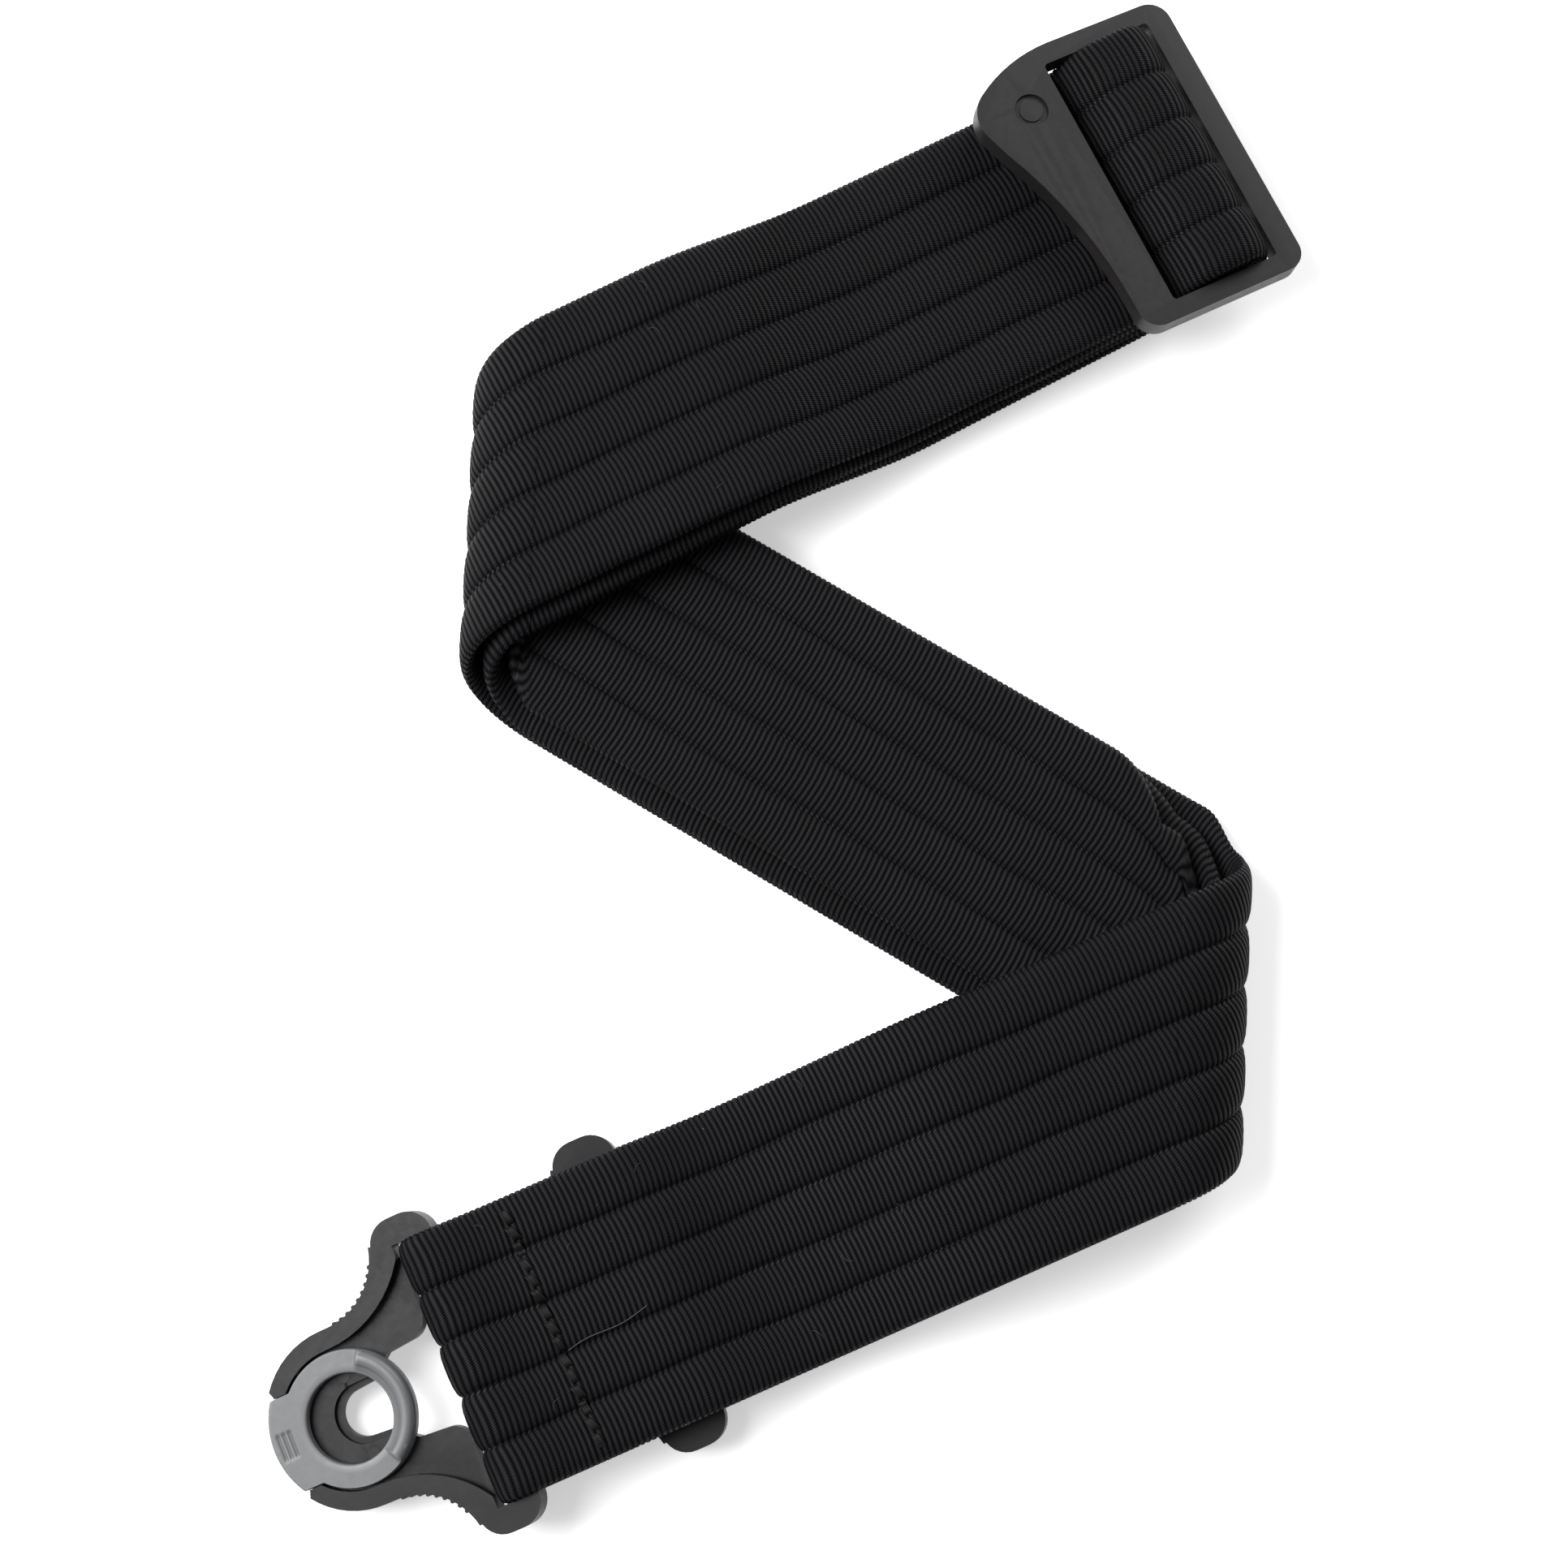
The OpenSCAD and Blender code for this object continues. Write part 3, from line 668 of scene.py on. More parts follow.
def webbing_material():
    """Near-black grosgrain: twisted two-ply ribs with a soft sheen and a little lint. The base colour has painted
    shade in the rib valleys and painted highlights on the crests and beads.
    """
    material, tree, shader = new_material("ribbed_webbing")
    position = object_place(tree)
    split = node(tree, "SeparateXYZ")
    tree.links.new(node(tree, "TexCoord").outputs["UV"], split.inputs[0])
    along = maths(tree, "MULTIPLY", split.outputs[0], 100.0)
    across = maths(tree, "MULTIPLY", split.outputs[1], 100.0)
    # Beads: short slanted turns of the twisted yarn on every rib
    slant = maths(tree, "ADD", maths(tree, "MULTIPLY", across, 2 * math.pi / 0.44),
                  maths(tree, "MULTIPLY", along, 2 * math.pi / 1.2))
    bead = maths(tree, "ADD", maths(tree, "MULTIPLY", maths(tree, "SINE", slant), 0.5), 0.5)
    fibre = noise(tree, position, 5200.0, 4.0, 0.7)
    patch = noise(tree, position, 55.0, 3.0)
    crest = maths(tree, "SUBTRACT", 0.5, maths(tree, "MULTIPLY", 0.5, maths(
        tree, "COSINE", maths(tree, "MULTIPLY", along, 2 * math.pi / RIB_PITCH))))
    # The beads scale the painted highlight along each crest.
    bead_highlight = maths(tree, "ADD", 0.3, maths(tree, "MULTIPLY", bead, 0.7))
    # lit is painted light: high on the rib crests, where light catches them, and low in the valleys, where shade
    # falls. It also sets the specular level below.
    lit = maths(tree, "MULTIPLY", maths(tree, "MULTIPLY", crest, bead_highlight), maths(tree, "ADD", 0.35, fibre))
    # The darker colour is painted shade for the valleys and the lighter one painted highlight for the crests;
    # patch varies both at random.
    valley_shade_colour = mix(tree, patch, (0.0016, 0.0014, 0.0017), (0.0026, 0.0023, 0.0028))
    light = mix(tree, patch, (0.0102, 0.0090, 0.0108), (0.0185, 0.0167, 0.0196))
    colour = mix(tree, lit, valley_shade_colour, light)
    lint = ramp(tree, noise(tree, position, 900.0, 2.0),
                [(0.0, (0, 0, 0)), (0.79, (0, 0, 0)), (0.81, (1, 1, 1))])
    colour = mix(tree, lint, colour, (0.06, 0.06, 0.065))
    tree.links.new(colour, shader.inputs["Base Color"])
    rough = ramp(tree, fibre, [(0.3, (0.42,) * 3), (0.7, (0.66,) * 3)])
    tree.links.new(rough, shader.inputs["Roughness"])
    tree.links.new(maths(tree, "ADD", 0.02, maths(tree, "MULTIPLY", lit, 0.22)),
                   shader.inputs["Specular IOR Level"])
    normal = bump(tree, bead, 0.55, 0.00009)
    normal = bump(tree, fibre, 0.35, 0.00006, normal)
    tree.links.new(normal, shader.inputs["Normal"])
    return material


def thread_material(name, base, highlight):
    """Fibre bundles whose strands vary between two colours; the lighter one is partly the strands' own tone and
    partly painted highlight.
    """
    material, tree, shader = new_material(name)
    position = object_place(tree)
    strand = noise(tree, position, 6000.0, 4.0, 0.75)
    # The highlight colour is painted highlight mixed with real strand tone, placed by noise.
    colour = mix(tree, strand, base, highlight)
    tree.links.new(colour, shader.inputs["Base Color"])
    shader.inputs["Roughness"].default_value = 0.55
    shader.inputs["Specular IOR Level"].default_value = 0.2
    tree.links.new(bump(tree, strand, 0.5, 0.00005), shader.inputs["Normal"])
    return material


def plastic_material(name, base, lighter, roughness, grain, specular=0.5):
    """Moulded plastic: fine spark-eroded grain, faint flow marks and slightly worn high spots."""
    material, tree, shader = new_material(name)
    position = object_place(tree)
    fine = noise(tree, position, 4200.0, 3.0, 0.6)
    broad = noise(tree, position, 60.0, 4.0, 0.6)
    scuff = noise(tree, position, 700.0, 5.0, 0.7)
    colour = mix(tree, broad, base, lighter)
    edge = node(tree, "NewGeometry").outputs["Pointiness"]
    worn = ramp(tree, edge, [(0.5, (0, 0, 0)), (0.56, (1, 1, 1))])
    worn_colour = tuple(min(3 * c + 0.01, 1) for c in lighter)
    colour = mix(tree, maths(tree, "MULTIPLY", worn, 0.25), colour, worn_colour)
    tree.links.new(colour, shader.inputs["Base Color"])
    low = roughness - 0.07
    high = roughness + 0.09
    rough = ramp(tree, scuff, [(0.3, (low,) * 3), (0.75, (high,) * 3)])
    tree.links.new(rough, shader.inputs["Roughness"])
    shader.inputs["Specular IOR Level"].default_value = specular
    normal = bump(tree, fine, grain, 0.00004)
    normal = bump(tree, broad, 0.08, 0.0004, normal)
    tree.links.new(normal, shader.inputs["Normal"])
    return material


def steel_material():
    material, tree, shader = new_material("drawn_steel")
    position = object_place(tree)
    streak = noise(tree, position, 2500.0, 4.0)
    tree.links.new(mix(tree, streak, (0.42, 0.42, 0.43), (0.68, 0.68, 0.7)), shader.inputs["Base Color"])
    shader.inputs["Metallic"].default_value = 1.0
    shader.inputs["Roughness"].default_value = 0.32
    tree.links.new(bump(tree, streak, 0.2, 0.00002), shader.inputs["Normal"])
    return material


webbing = webbing_material()
sewing_thread = thread_material("sewing_thread", (0.0016, 0.0014, 0.0016), (0.011, 0.0098, 0.0108))
loose_fibre = thread_material("loose_fibre", (0.02, 0.02, 0.022), (0.10, 0.10, 0.105))
filler = thread_material("pad_filler", (0.05, 0.05, 0.055), (0.2, 0.2, 0.21))
adjuster_plastic = plastic_material("adjuster_plastic", (0.0065, 0.0058, 0.006), (0.0105, 0.0095, 0.0098),
                                    roughness=0.42, grain=0.25, specular=0.35)
clip_plastic = plastic_material("clip_plastic", (0.0075, 0.0072, 0.0078), (0.0135, 0.013, 0.014),
                                roughness=0.40, grain=0.3, specular=0.18)
ring_plastic = plastic_material("lock_ring_plastic", (0.105, 0.107, 0.112), (0.135, 0.137, 0.143),
                                roughness=0.40, grain=0.2)
steel = steel_material()


# ---- The nine lengths of webbing and the six folds ----

def finish(obj, body, slot, *nodes):
    """Puts a piece on its body and in place of the CAD nodes that it stands for."""
    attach(obj, body)
    if nodes:
        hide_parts(*nodes)


MIDDLE_NODES = ("webbing_middle_bottom", "webbing_middle_centre", "webbing_middle_top")
UPPER_NODES = ("webbing_upper_top", "webbing_upper_centre", "webbing_upper_bottom")
# Where the length that shortens under the adjuster starts on the upper run
FEED_SPLIT = 46.0
# Which way each layer's ribs bow
BOW = (-1.0, -1.0, 1.0)
# Rows laid beyond a slanted end, so that it cuts through whole ribs
MARGIN = 2.0
# The curl inside the right fold: how far each layer draws in, over what length, and how far it spreads
CURL = (0.0, 4.0, 8.0)
CURL_REACH = 15.0
CURL_SPREAD = (4.5, 3.5, 0.0)
LOOP_GROOVE_T = 1.45


def corner_curl(layer, at, v):
    """How far the edge inside the right fold draws in as it curls round the turn. The layers beneath
    it spread out a little before they follow."""
    to_fold = at - layer.line_u(layer.right, v, False)
    past = ease((at - layer.line_u(layer.right, v, True)) / CURL_REACH)
    curled = np.clip(to_fold / CURL_REACH + 1, 0, 1) ** 2 * (1 - past)
    spread = ease(to_fold / 20 + 1.5) * ease((15 - to_fold) / 11)
    near_edge = np.clip((v + 5) / (STRAP_W / 2 + 5), 0, 1) ** 1.4
    return (CURL[layer.i] * curled - CURL_SPREAD[layer.i] * spread) * near_edge


def loop_groove(at, end_u):
    """The grooves fill out where the webbing turns round clip A's crossbar."""
    turn_u = end_u - (LOWER_LEN - RETURN_END_S) - math.pi * LOOP_MEAN / 2
    return LOOP_GROOVE_T + (GROOVE_T - LOOP_GROOVE_T) * ease((np.abs(at - turn_u) - 2.5) / 4.0)


def upper_cut(layer):
    """The u of the rib valley nearest the place where the feed length starts."""
    fold_end = layer.line_u(layer.left, 0.0, True)
    u = fold_end - (FEED_SPLIT - layer.upper_s(fold_end))
    return round(u / RIB_PITCH) * RIB_PITCH


feed_starts = []
feed_mirrors = []
for i, layer in enumerate(layers):
    curl = partial(corner_curl, layer)
    edge = np.array([-STRAP_W / 2, STRAP_W / 2])
    left_in = layer.line_u(layer.left, edge, False)
    left_out = layer.line_u(layer.left, edge, True)
    right_in = layer.line_u(layer.right, edge, False)
    right_out = layer.line_u(layer.right, edge, True)

    middle = strip(f"middle_{layer.name}_weave",
                   rib_rows(left_in.min() - MARGIN, right_in.max() + MARGIN, 0.0), layer.middle_point,
                   low=lambda v: layer.line_u(layer.left, v, False),
                   high=lambda v: layer.line_u(layer.right, v, False),
                   bow=BOW[i], draw_in=curl)
    finish(middle, "middle_run", "webbing", MIDDLE_NODES[i])

    cut = upper_cut(layer)
    upper = strip(f"upper_{layer.name}_weave", rib_rows(cut, left_out.max() + MARGIN, 0.0),
                  layer.upper_point, high=lambda v: layer.line_u(layer.left, v, True), bow=BOW[i])
    finish(upper, "upper_run", "webbing", UPPER_NODES[i])
    feed_starts.append(float(layer.upper_s(cut)))
    feed_mirrors.append(cut + feed_starts[-1])

    fold_end = layer.line_u(layer.right, 0.0, True)
    end_u = fold_end + lower_paths[i].end - layer.lower_s(fold_end)
    lower = strip(f"lower_{layer.name}_weave", rib_rows(right_out.min() - MARGIN, end_u, 0.0),
                  layer.lower_point, low=lambda v: layer.line_u(layer.right, v, True),
                  bow=BOW[i], draw_in=curl,
                  groove_t=partial(loop_groove, end_u=end_u) if i == 0 else None)
    finish(lower, "lower_run", "webbing", "webbing_lower_top" if i == 0 else "webbing_lower_loop")

    for side, fold, point, body in (("left", layer.left, layer.left_point, "upper_run"),
                                    ("right", layer.right, layer.right_point, "lower_run")):
        ends = np.r_[layer.line_u(fold, edge, False), layer.line_u(fold, edge, True)]
        piece = strip(f"{side}_fold_{layer.name}_weave",
                      rib_rows(ends.min() - MARGIN, ends.max() + MARGIN, 0.0), point,
                      low=lambda v: layer.line_u(fold, v, side == "left"),
                      high=lambda v: layer.line_u(fold, v, side == "right"),
                      bow=BOW[i], draw_in=curl if side == "right" else None)
        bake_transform(piece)
        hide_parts(f"{side}_fold_{layer.name}")


def squash_feed(piece):
    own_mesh(piece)


feed_ends = [path.length_at(FEED_END_S) for path in upper_paths]
for i, layer in enumerate(layers):
    start = feed_starts[i]
    weave = strip(f"feed_{layer.name}_weave", rib_rows(start, feed_ends[i]),
                  partial(on_upper, i), bow=-BOW[i], mirror=feed_mirrors[i])
    finish(weave, "upper_run", "webbing", "webbing_take_up")
    squash_feed(weave)


def slim(start, end):
    """Thickness that eases from the padded webbing to the tighter turn, and back if end is given."""
    def thickness(s):
        near = (s - start) / 9.0
        if end is not None:
            near = np.minimum(near, (end - s) / 9.0)
        return STRAP_T + (LOOP_T - STRAP_T) * ease(near)
    return thickness


turn_end = outer_path.length_at(FEED_END_S, last=True)


def on_turn(s, v, h):
    """The outer turn spreads a little where it is pulled round the centre bar."""
    spread = ease(np.minimum(s - feed_ends[0], turn_end - s) / 4.0)
    return on_upper(0, s, v + spread * TURN_SPREAD * (v / STRAP_W + 0.5), h)


turn = strip("adjuster_turn_weave", rib_rows(feed_ends[0], turn_end), on_turn, bow=-BOW[0],
             thickness=slim(feed_ends[0], turn_end), mirror=feed_mirrors[0])
finish(turn, "adjuster", "webbing", "adjuster_turn")
tail = strip("adjuster_tail_weave", rib_rows(feed_ends[1], centre_path.end), partial(on_upper, 1),
             bow=-BOW[1], thickness=slim(feed_ends[1], None), mirror=feed_mirrors[1])
finish(tail, "adjuster", "webbing", "adjuster_tail")


# ---- Pads inside the channels ----

def tube_faces(rows, sides, base=0):
    """Faces along a tube and over its two ends."""
    faces = []
    for row in range(rows - 1):
        for k in range(sides):
            a = base + row * sides + k
            b = base + row * sides + (k + 1) % sides
            faces.append([a, b, b + sides, a + sides])
    faces.append([base + k for k in range(sides)][::-1])
    faces.append([base + (rows - 1) * sides + k for k in range(sides)])
    return faces


def pads(name, at, to_xyz, body, *nodes, draw_in=None):
    """Soft rounded cords of filler, one in each channel."""
    sides = 10
    angles = np.linspace(0, 2 * math.pi, sides, endpoint=False)
    points = []
    faces = []
    for c in range(CHANNELS):
        centre = (c + 0.5) * STRAP_W / CHANNELS - STRAP_W / 2
        base = len(points)
        for row, s in enumerate(at):
            # The cord narrows over its last two rows
            taper = min(row, len(at) - 1 - row, 2) / 2 * 0.6 + 0.4
            for a in angles:
                lump = 1 + 0.06 * math.sin(s / 2.3 + 3 * a + c)
                v = centre + PAD_HALF_W * taper * lump * math.cos(a)
                if draw_in is not None:
                    v -= draw_in(s, v)
                points.append(to_xyz(s, v, PAD_HALF_T * taper * lump * math.sin(a)))
        faces += tube_faces(len(at), sides, base)
    obj = new_object(name, np.array(points) * MM, faces)
    obj.data.materials.append(filler)
    finish(obj, body, "padding", *nodes)
    return obj


for i, layer in enumerate(layers):
    middle_at = np.arange(-MIDDLE_PAD_END, MIDDLE_PAD_END + 0.5, PAD_STEP)
    upper_at = np.arange(PAD_START, feed_starts[i] - 0.5, PAD_STEP)
    feed_at = np.arange(feed_starts[i] + 0.5, UPPER_PAD_END, PAD_STEP)
    lower_at = np.arange(PAD_START, LOWER_PAD_END[i], PAD_STEP)
    in_upper = partial(on_upper, i)
    pads(f"middle_{layer.name}_filler", middle_at, layer.middle_point, "middle_run", "padding_middle",
         draw_in=partial(corner_curl, layer))
    pads(f"upper_{layer.name}_filler", upper_at, in_upper, "upper_run", "padding_upper")
    feed_pad = pads(f"feed_{layer.name}_filler", feed_at, in_upper, "upper_run", "padding_upper")
    squash_feed(feed_pad)
    pads(f"lower_{layer.name}_filler", lower_at, partial(on_lower, i), "lower_run", "padding_lower")


# ---- Stitching, loose fibres ----

STITCHES = 15
THREAD_R = 0.21
THREAD_GAP = 0.34
THREADS = 4


def tube(points, r, sides=6):
    """Points and faces of a thin round tube along a line, closed at both ends."""
    p = np.array(points, float)
    d = np.gradient(p, axis=0)
    d /= np.linalg.norm(d, axis=1)[:, None]
    ref = np.array([0.0, 0.0, 1.0])
    first = np.cross(d, ref)
    first /= np.maximum(np.linalg.norm(first, axis=1), 1e-9)[:, None]
    second = np.cross(d, first)
    ring = np.linspace(0, 2 * math.pi, sides, endpoint=False)
    out = p[:, None, :] + r * (np.cos(ring)[None, :, None] * first[:, None, :]
                               + np.sin(ring)[None, :, None] * second[:, None, :])
    return out.reshape(-1, 3), tube_faces(len(p), sides)


def join_tubes(name, tubes, material):
    points = []
    faces = []
    total = 0
    for p, f in tubes:
        points.append(p)
        faces += [[n + total for n in face] for face in f]
        total += len(p)
    obj = new_object(name, np.concatenate(points) * MM, faces)
    obj.data.materials.append(material)
    return obj


def face_height(v):
    """Just below the webbing's face, from its middle, at a place across the strap."""
    w = ((v + STRAP_W / 2) / (STRAP_W / CHANNELS)) % 1 * 2 - 1
    return GROOVE_T / 2 + (STRAP_T - GROOVE_T) / 2 * (1 - abs(w) ** CROWN_POWER) ** CROWN_ROUND - 0.05


def stitch_clusters():
    """Heavy bar-like stitches across the upper face, each of a few parallel threads."""
    tubes = []
    width = STRAP_W - 4
    length = width / STITCHES
    for k in range(STITCHES):
        middle = (k + 0.5) * length - width / 2
        lean = 0.3 + random.uniform(-0.14, 0.14)
        reach = length * random.uniform(0.42, 0.5)
        for strand in range(THREADS):
            shift = (strand - (THREADS - 1) / 2) * THREAD_GAP + random.uniform(-0.06, 0.06)
            line = []
            for t in np.linspace(-1, 1, 11):
                v = middle + t * reach + random.uniform(-0.02, 0.02)
                s = STITCH_S + shift + lean * t * reach
                lift = face_height(v) + 0.42 * (1 - t ** 4) - 0.35 * t ** 4
                line.append(on_lower(0, s, v, -lift))
            tubes.append(tube(line, THREAD_R))
    return tubes


finish(join_tubes("clip_a_stitch_row", stitch_clusters(), sewing_thread), "lower_run", "thread",
       "clip_a_stitching")


def lint(to_xyz, s_range, count):
    """Short curled fibres caught on the webbing's upper face."""
    tubes = []
    for _ in range(count):
        s = random.uniform(*s_range)
        v = random.uniform(-24, 24)
        heading = random.uniform(0, math.pi)
        curl = random.uniform(-0.7, 0.7)
        line = []
        for t in np.linspace(0, random.uniform(1.2, 3.0), 9):
            fs = s + t * math.cos(heading + curl * t)
            fv = float(np.clip(v + t * math.sin(heading + curl * t), -25, 25))
            line.append(to_xyz(fs, fv, -face_height(fv) - 0.18 - 0.12 * math.sin(2 * t)))
        tubes.append(tube(line, 0.035, 5))
    return tubes


# One thread end has come loose from the middle of the row and lies beside a groove
thread_end = []
for t in np.linspace(0, 1, 40):
    v = -4.9 + 1.5 * t + 0.35 * math.sin(7 * t)
    h = -face_height(v) - 0.2 - 0.15 * math.sin(math.pi * t)
    thread_end.append(on_lower(0, STITCH_S - 1.0 - 16.5 * t, v, h))
fibres = [tube(thread_end, 0.09)] + lint(partial(on_lower, 0), (40, 136), 9)
finish(join_tubes("loose_fibres_lower", fibres, loose_fibre), "lower_run", "thread")
finish(join_tubes("loose_fibres_upper", lint(partial(on_upper, 0), (22, 45), 4), loose_fibre),
       "upper_run", "thread")

# The row that closes the webbing round the centre bar shows on both faces of the two sewn layers
tail_seam_s = UPPER_LEN - 24
tail_stitches = []
for face_z, direction in ((layer_z(2) + STRAP_T / 2, 1), (layer_z(1) - STRAP_T / 2, -1)):
    for k in range(STITCHES):
        middle = (k - (STITCHES - 1) / 2) * (STRAP_W - 6) / STITCHES
        line = []
        for t in np.linspace(-1, 1, 7):
            across = middle + 1.25 * t
            point = UPPER_START + tail_seam_s * UPPER_DIR + across * UPPER_SIDE
            line.append((*point, face_z + direction * (0.02 - 0.5 * t ** 4)))
        tail_stitches.append(tube(line, 0.2))
finish(join_tubes("tail_stitch_row", tail_stitches, sewing_thread), "adjuster", "thread", "tail_stitching")


# ---- Plastic parts: the CAD shapes with softened edges ----

def soften(name, material, width, segments=2):
    """Gives a CAD piece its material and a small rounding on every sharp edge."""
    obj = frame["nodes"][name]
    obj.data.materials.clear()
    obj.data.materials.append(material)
    weld = obj.modifiers.new("weld", "WELD")
    weld.merge_threshold = 0.000002
    flat = obj.modifiers.new("whole_faces", "DECIMATE")
    flat.decimate_type = "DISSOLVE"
    flat.angle_limit = math.radians(0.4)
    bevel = obj.modifiers.new("rounded_edges", "BEVEL")
    bevel.width = width
    bevel.segments = segments
    bevel.limit_method = "ANGLE"
    bevel.angle_limit = math.radians(40)
    bevel.use_clamp_overlap = True
    obj.modifiers.new("even_shading", "WEIGHTED_NORMAL")


soften("adjuster_slider", adjuster_plastic, 0.0006, 3)
for clip in ("clip_a", "clip_b"):
    soften(f"{clip}_frame", clip_plastic, 0.00025)


# ---- Lock rings and springs, in each clip's own frame ----

mounts = {mount["name"]: mount for mount in frame["record"]["mounts"]}
BORE_R = mounts["collar_bore_a"]["dims"]["r_mm"]
RING_R = 12.7
RING_BOTTOM = 2.75
RING_TOP = 5.0
LIP = 1.45
LIP_HALF_ANGLE = 60.0
TONGUE_W = 17.7
TONGUE_R = 15.8
RING_MID_Z = (RING_BOTTOM + RING_TOP) / 2
MARK_X = 12.9
MARK_GAP = 1.15
MARK_HALF_LEN = 2.7
SPRING_Y = 10.4
SPRING_START = -4.5
SPRING_END = 8.6
SPRING_Z = 1.0
SPRING_R = 0.72
WIRE_R = 0.16
COILS = 9


class ClipFrame:
    """A clip's own frame: the ring's centre at rest, +X towards the strap, +Z out of the ring's face."""

    def __init__(self, side):
        bore = mounts[f"collar_bore_{side}"]
        self.z = unit(bore["axis"])
        self.x = unit(joints[f"clip_{side}_lock_slide"]["axis"])
        self.y = np.cross(self.z, self.x)
        self.origin = np.array(bore["pos_m"]) / MM - RING_MID_Z * self.z

    def __call__(self, points):
        p = np.atleast_2d(points)
        return self.origin + p[:, :1] * self.x + p[:, 1:2] * self.y + p[:, 2:3] * self.z


def ring_outline(angle):
    """The ring's outer radius, which grows into the tongue on the far side from the strap."""
    if math.cos(angle) > 0:
        return RING_R
    reach = TONGUE_W / 2 / max(abs(math.sin(angle)), 1e-6)
    return min(max(reach, RING_R), TONGUE_R)


def ring_section(angle):
    """One radial section of the ring, as [radius, height], anticlockwise from the bore's foot."""
    outer = ring_outline(angle)
    turn = math.degrees(abs(math.atan2(math.sin(angle), math.cos(angle))))
    lip = LIP * ease((LIP_HALF_ANGLE + 2 - turn) / 4)
    rounding = 0.45
    points = [(BORE_R + 0.15, RING_BOTTOM), (BORE_R, RING_BOTTOM + 0.15), (BORE_R, RING_TOP - 0.9)]
    for a in (0, 30, 60, 90):
        points.append((BORE_R + rounding * (1 - math.cos(math.radians(a))),
                       RING_TOP - rounding * (1 - math.sin(math.radians(a)))))
    ridge_in = BORE_R + 1.3
    ridge_out = outer - 0.05
    for t in np.linspace(0, 1, 29)[1:-1]:
        r = ridge_in + (ridge_out - ridge_in) * t
        x = r * math.cos(angle)
        y = r * math.sin(angle)
        # Three plain grooves in the tongue
        mark = 0.3 * sum(math.exp(-((x + MARK_X + MARK_GAP * k) / 0.3) ** 2) for k in (-1, 0, 1))
        mark *= ease((MARK_HALF_LEN - abs(y)) / 0.5)
        ridge = lip * (1 - abs(2 * t - 1) ** 2.6) ** 0.75
        points.append((r, RING_TOP + ridge - mark))
    for a in (60, 30, 0):
        points.append((outer - rounding * (1 - math.cos(math.radians(a))),
                       RING_TOP - rounding * (1 - math.sin(math.radians(a)))))
    points += [(outer, RING_TOP - 0.9), (outer, RING_BOTTOM + 0.2), (outer - 0.2, RING_BOTTOM)]
    return points


def rounded_block(centre, size, r=0.18):
    """Points and faces of a small block with bevelled edges."""
    block = bmesh.new()
    bmesh.ops.create_cube(block, size=1.0)
    bmesh.ops.scale(block, vec=size, verts=block.verts)
    bmesh.ops.bevel(block, geom=block.edges[:], offset=r, segments=2, affect="EDGES", profile=0.5)
    block.verts.index_update()
    points = np.array([vert.co for vert in block.verts]) + np.array(centre)
    faces = [[vert.index for vert in face.verts] for face in block.faces]
    block.free()
    return points, faces


def lock_ring(side):
    """The ring swept round its bore, with the two blocks beneath it that push on the springs."""
    around = 288
    angles = [2 * math.pi * k / around for k in range(around)]
    sections = [ring_section(angle) for angle in angles]
    n = len(sections[0])
    points = [(r * math.cos(angle), r * math.sin(angle), z)
              for angle, section in zip(angles, sections) for r, z in section]
    faces = [[k * n + j, (k + 1) % around * n + j, (k + 1) % around * n + (j + 1) % n, k * n + (j + 1) % n]
             for k in range(around) for j in range(n)]
    for y in (-SPRING_Y, SPRING_Y):
        block, block_faces = rounded_block((SPRING_START - 0.85, y, 1.65), (1.5, 1.4, 2.6))
        faces += [[i + len(points) for i in face] for face in block_faces]
        points += block.tolist()
    placed = ClipFrame(side)(np.array(points)) * MM
    obj = new_object(f"clip_{side}_ring", placed, faces)
    outward_normals(obj.data)
    obj.data.materials.append(ring_plastic)
    finish(obj, f"clip_{side}_lock", "lock_ring_plastic", f"clip_{side}_lock_ring")


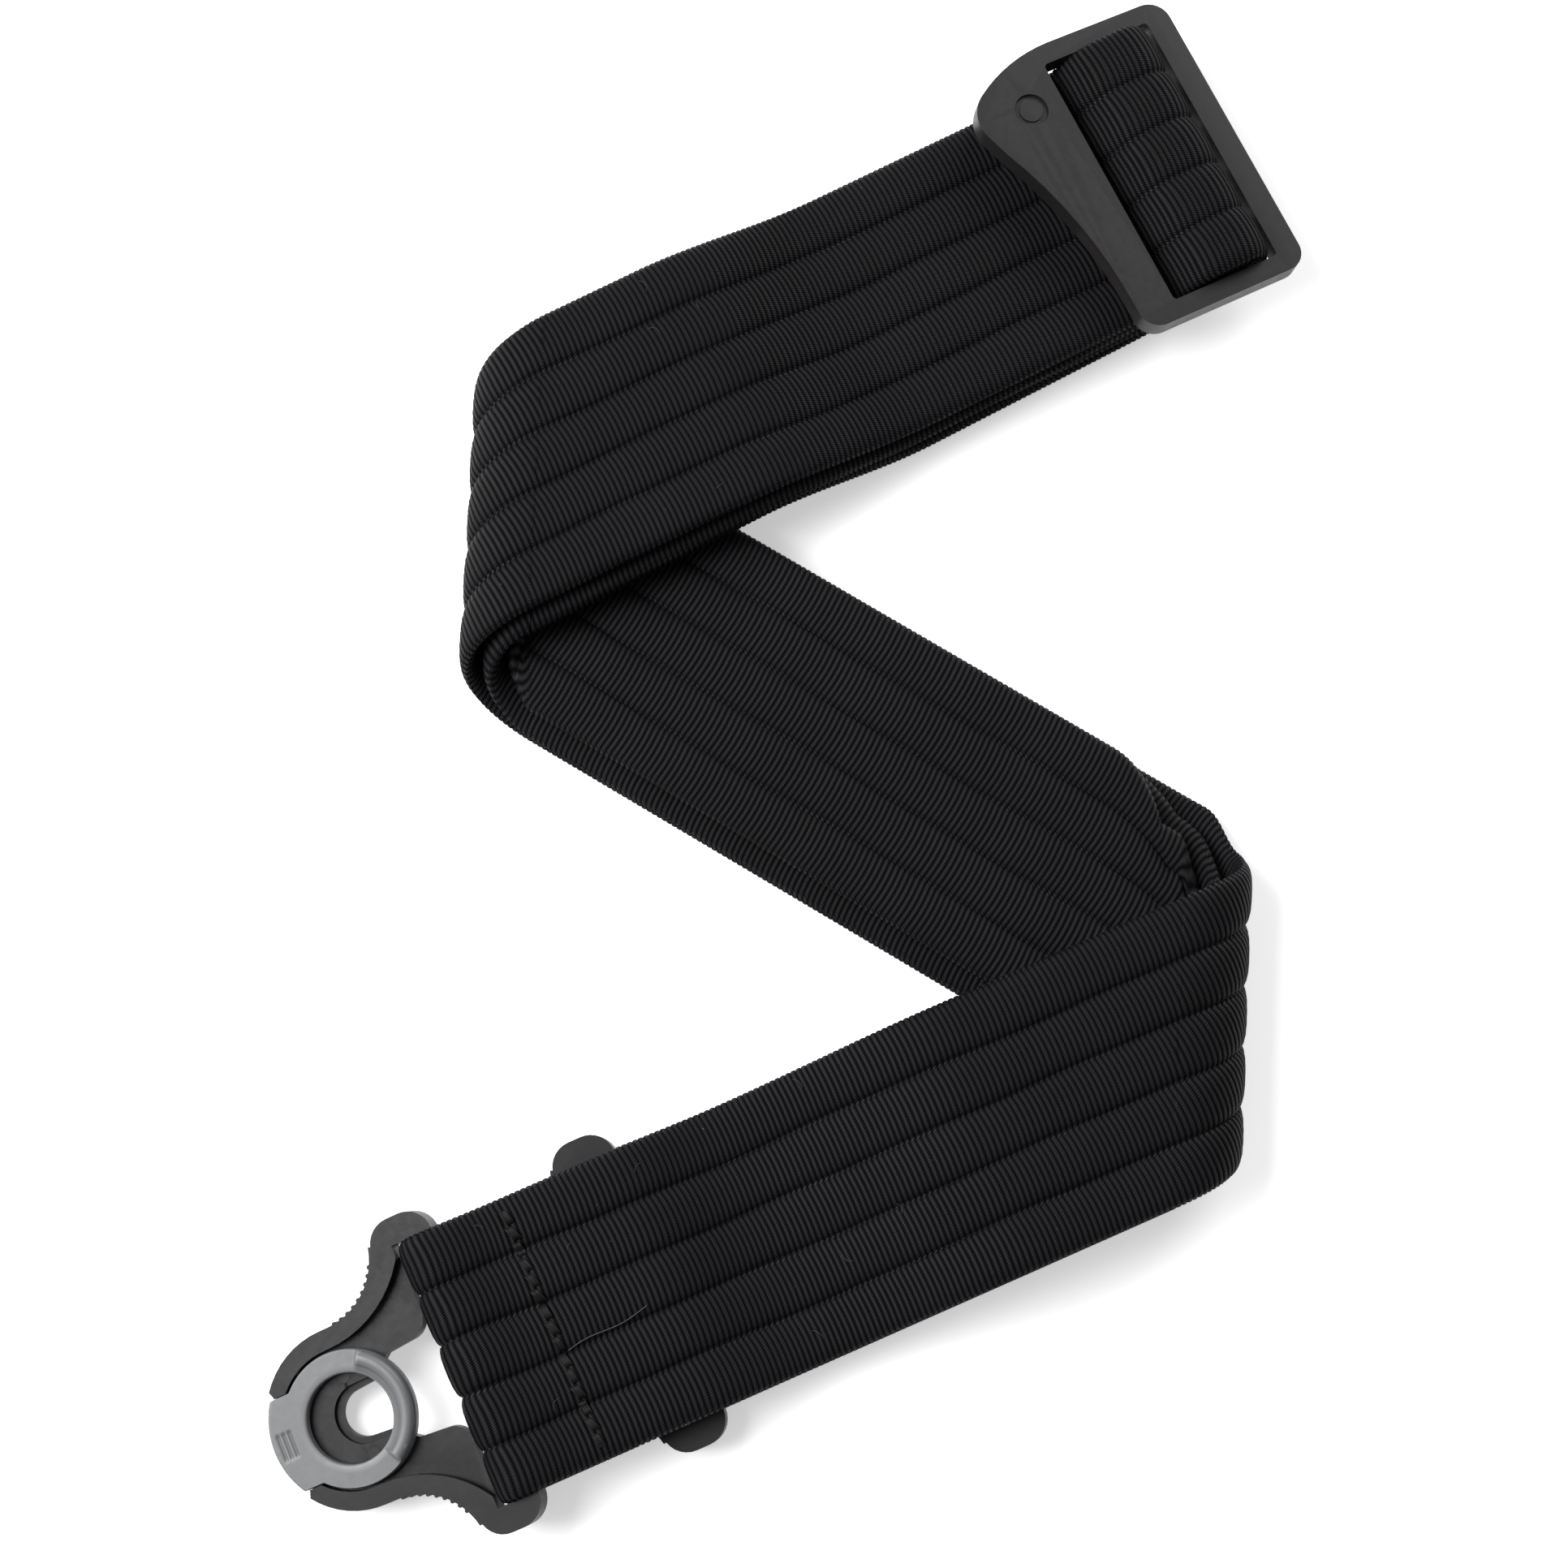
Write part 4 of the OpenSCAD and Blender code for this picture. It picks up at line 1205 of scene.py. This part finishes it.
def springs(side):
    """Two coil springs, built at rest; in the real clip they shorten as the ring is pulled towards the strap."""
    at = ClipFrame(side)
    tubes = []
    for y in (-SPRING_Y, SPRING_Y):
        turns = np.linspace(0, COILS * 2 * math.pi, COILS * 16)
        x = SPRING_START + WIRE_R + (SPRING_END - SPRING_START - 2 * WIRE_R) * turns / turns[-1]
        line = np.column_stack([x, y + SPRING_R * np.cos(turns), SPRING_Z + SPRING_R * np.sin(turns)])
        tubes.append(tube(at(line), WIRE_R))
    obj = join_tubes(f"clip_{side}_coils", tubes, steel)
    finish(obj, f"clip_{side}", "spring_wire", f"clip_{side}_springs")
    anchor = at((SPRING_END, 0, SPRING_Z))[0] * MM
    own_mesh(obj)


for side in ("a", "b"):
    lock_ring(side)
    springs(side)


# ---- Floor, light and camera ----

def area_light(name, location, size, power):
    """A white panel that faces the frame's origin."""
    data = bpy.data.lights.new(name, "AREA")
    data.shape = "RECTANGLE"
    data.size = size[0]
    data.size_y = size[1]
    data.energy = power
    light = add_object(name, data)
    light.location = location
    light.rotation_euler = (-Vector(location)).to_track_quat("-Z", "Y").to_euler()


floor_mesh = bpy.data.meshes.new("floor")
floor_corners = [(x, y, -0.0002) for x, y in ((-3, -3), (3, -3), (3, 3), (-3, 3))]
floor_mesh.from_pydata(floor_corners, [], [[0, 1, 2, 3]])
floor = add_object("floor", floor_mesh)
paper, _, paper_shader = new_material("pale_floor")
paper_shader.inputs["Base Color"].default_value = (0.93, 0.93, 0.93, 1)
paper_shader.inputs["Roughness"].default_value = 0.9
paper_shader.inputs["Specular IOR Level"].default_value = 0.1
paper_shader.inputs["Emission Color"].default_value = (1, 1, 1, 1)
paper_shader.inputs["Emission Strength"].default_value = 0.46
floor_mesh.materials.append(paper)

world = bpy.data.worlds.new("studio")
bpy.context.scene.world = world
world.use_nodes = True
world.node_tree.nodes["Background"].inputs[0].default_value = (1, 1, 1, 1)
world.node_tree.nodes["Background"].inputs[1].default_value = 0.26
area_light("key", (-0.75, 0.10, 0.80), (0.8, 0.8), 19)
area_light("fill", (0.55, 1.00, 0.55), (0.8, 0.5), 9)
bpy.context.scene.view_settings.view_transform = "Standard"

# Looks down at the strap from the -Y side, 11 degrees off the vertical
target = Vector((-0.0146, -0.0008, 0.005))
back = Vector((0, -0.1908, 0.9816)).normalized()
camera_distance = 0.586
camera_data = bpy.data.cameras.new("camera")
camera_data.lens = 70
camera_data.sensor_width = 36
camera = add_object("camera", camera_data)
camera.location = target + camera_distance * back
camera.rotation_euler = (-back).to_track_quat("-Z", "Y").to_euler()
bpy.context.scene.camera = camera
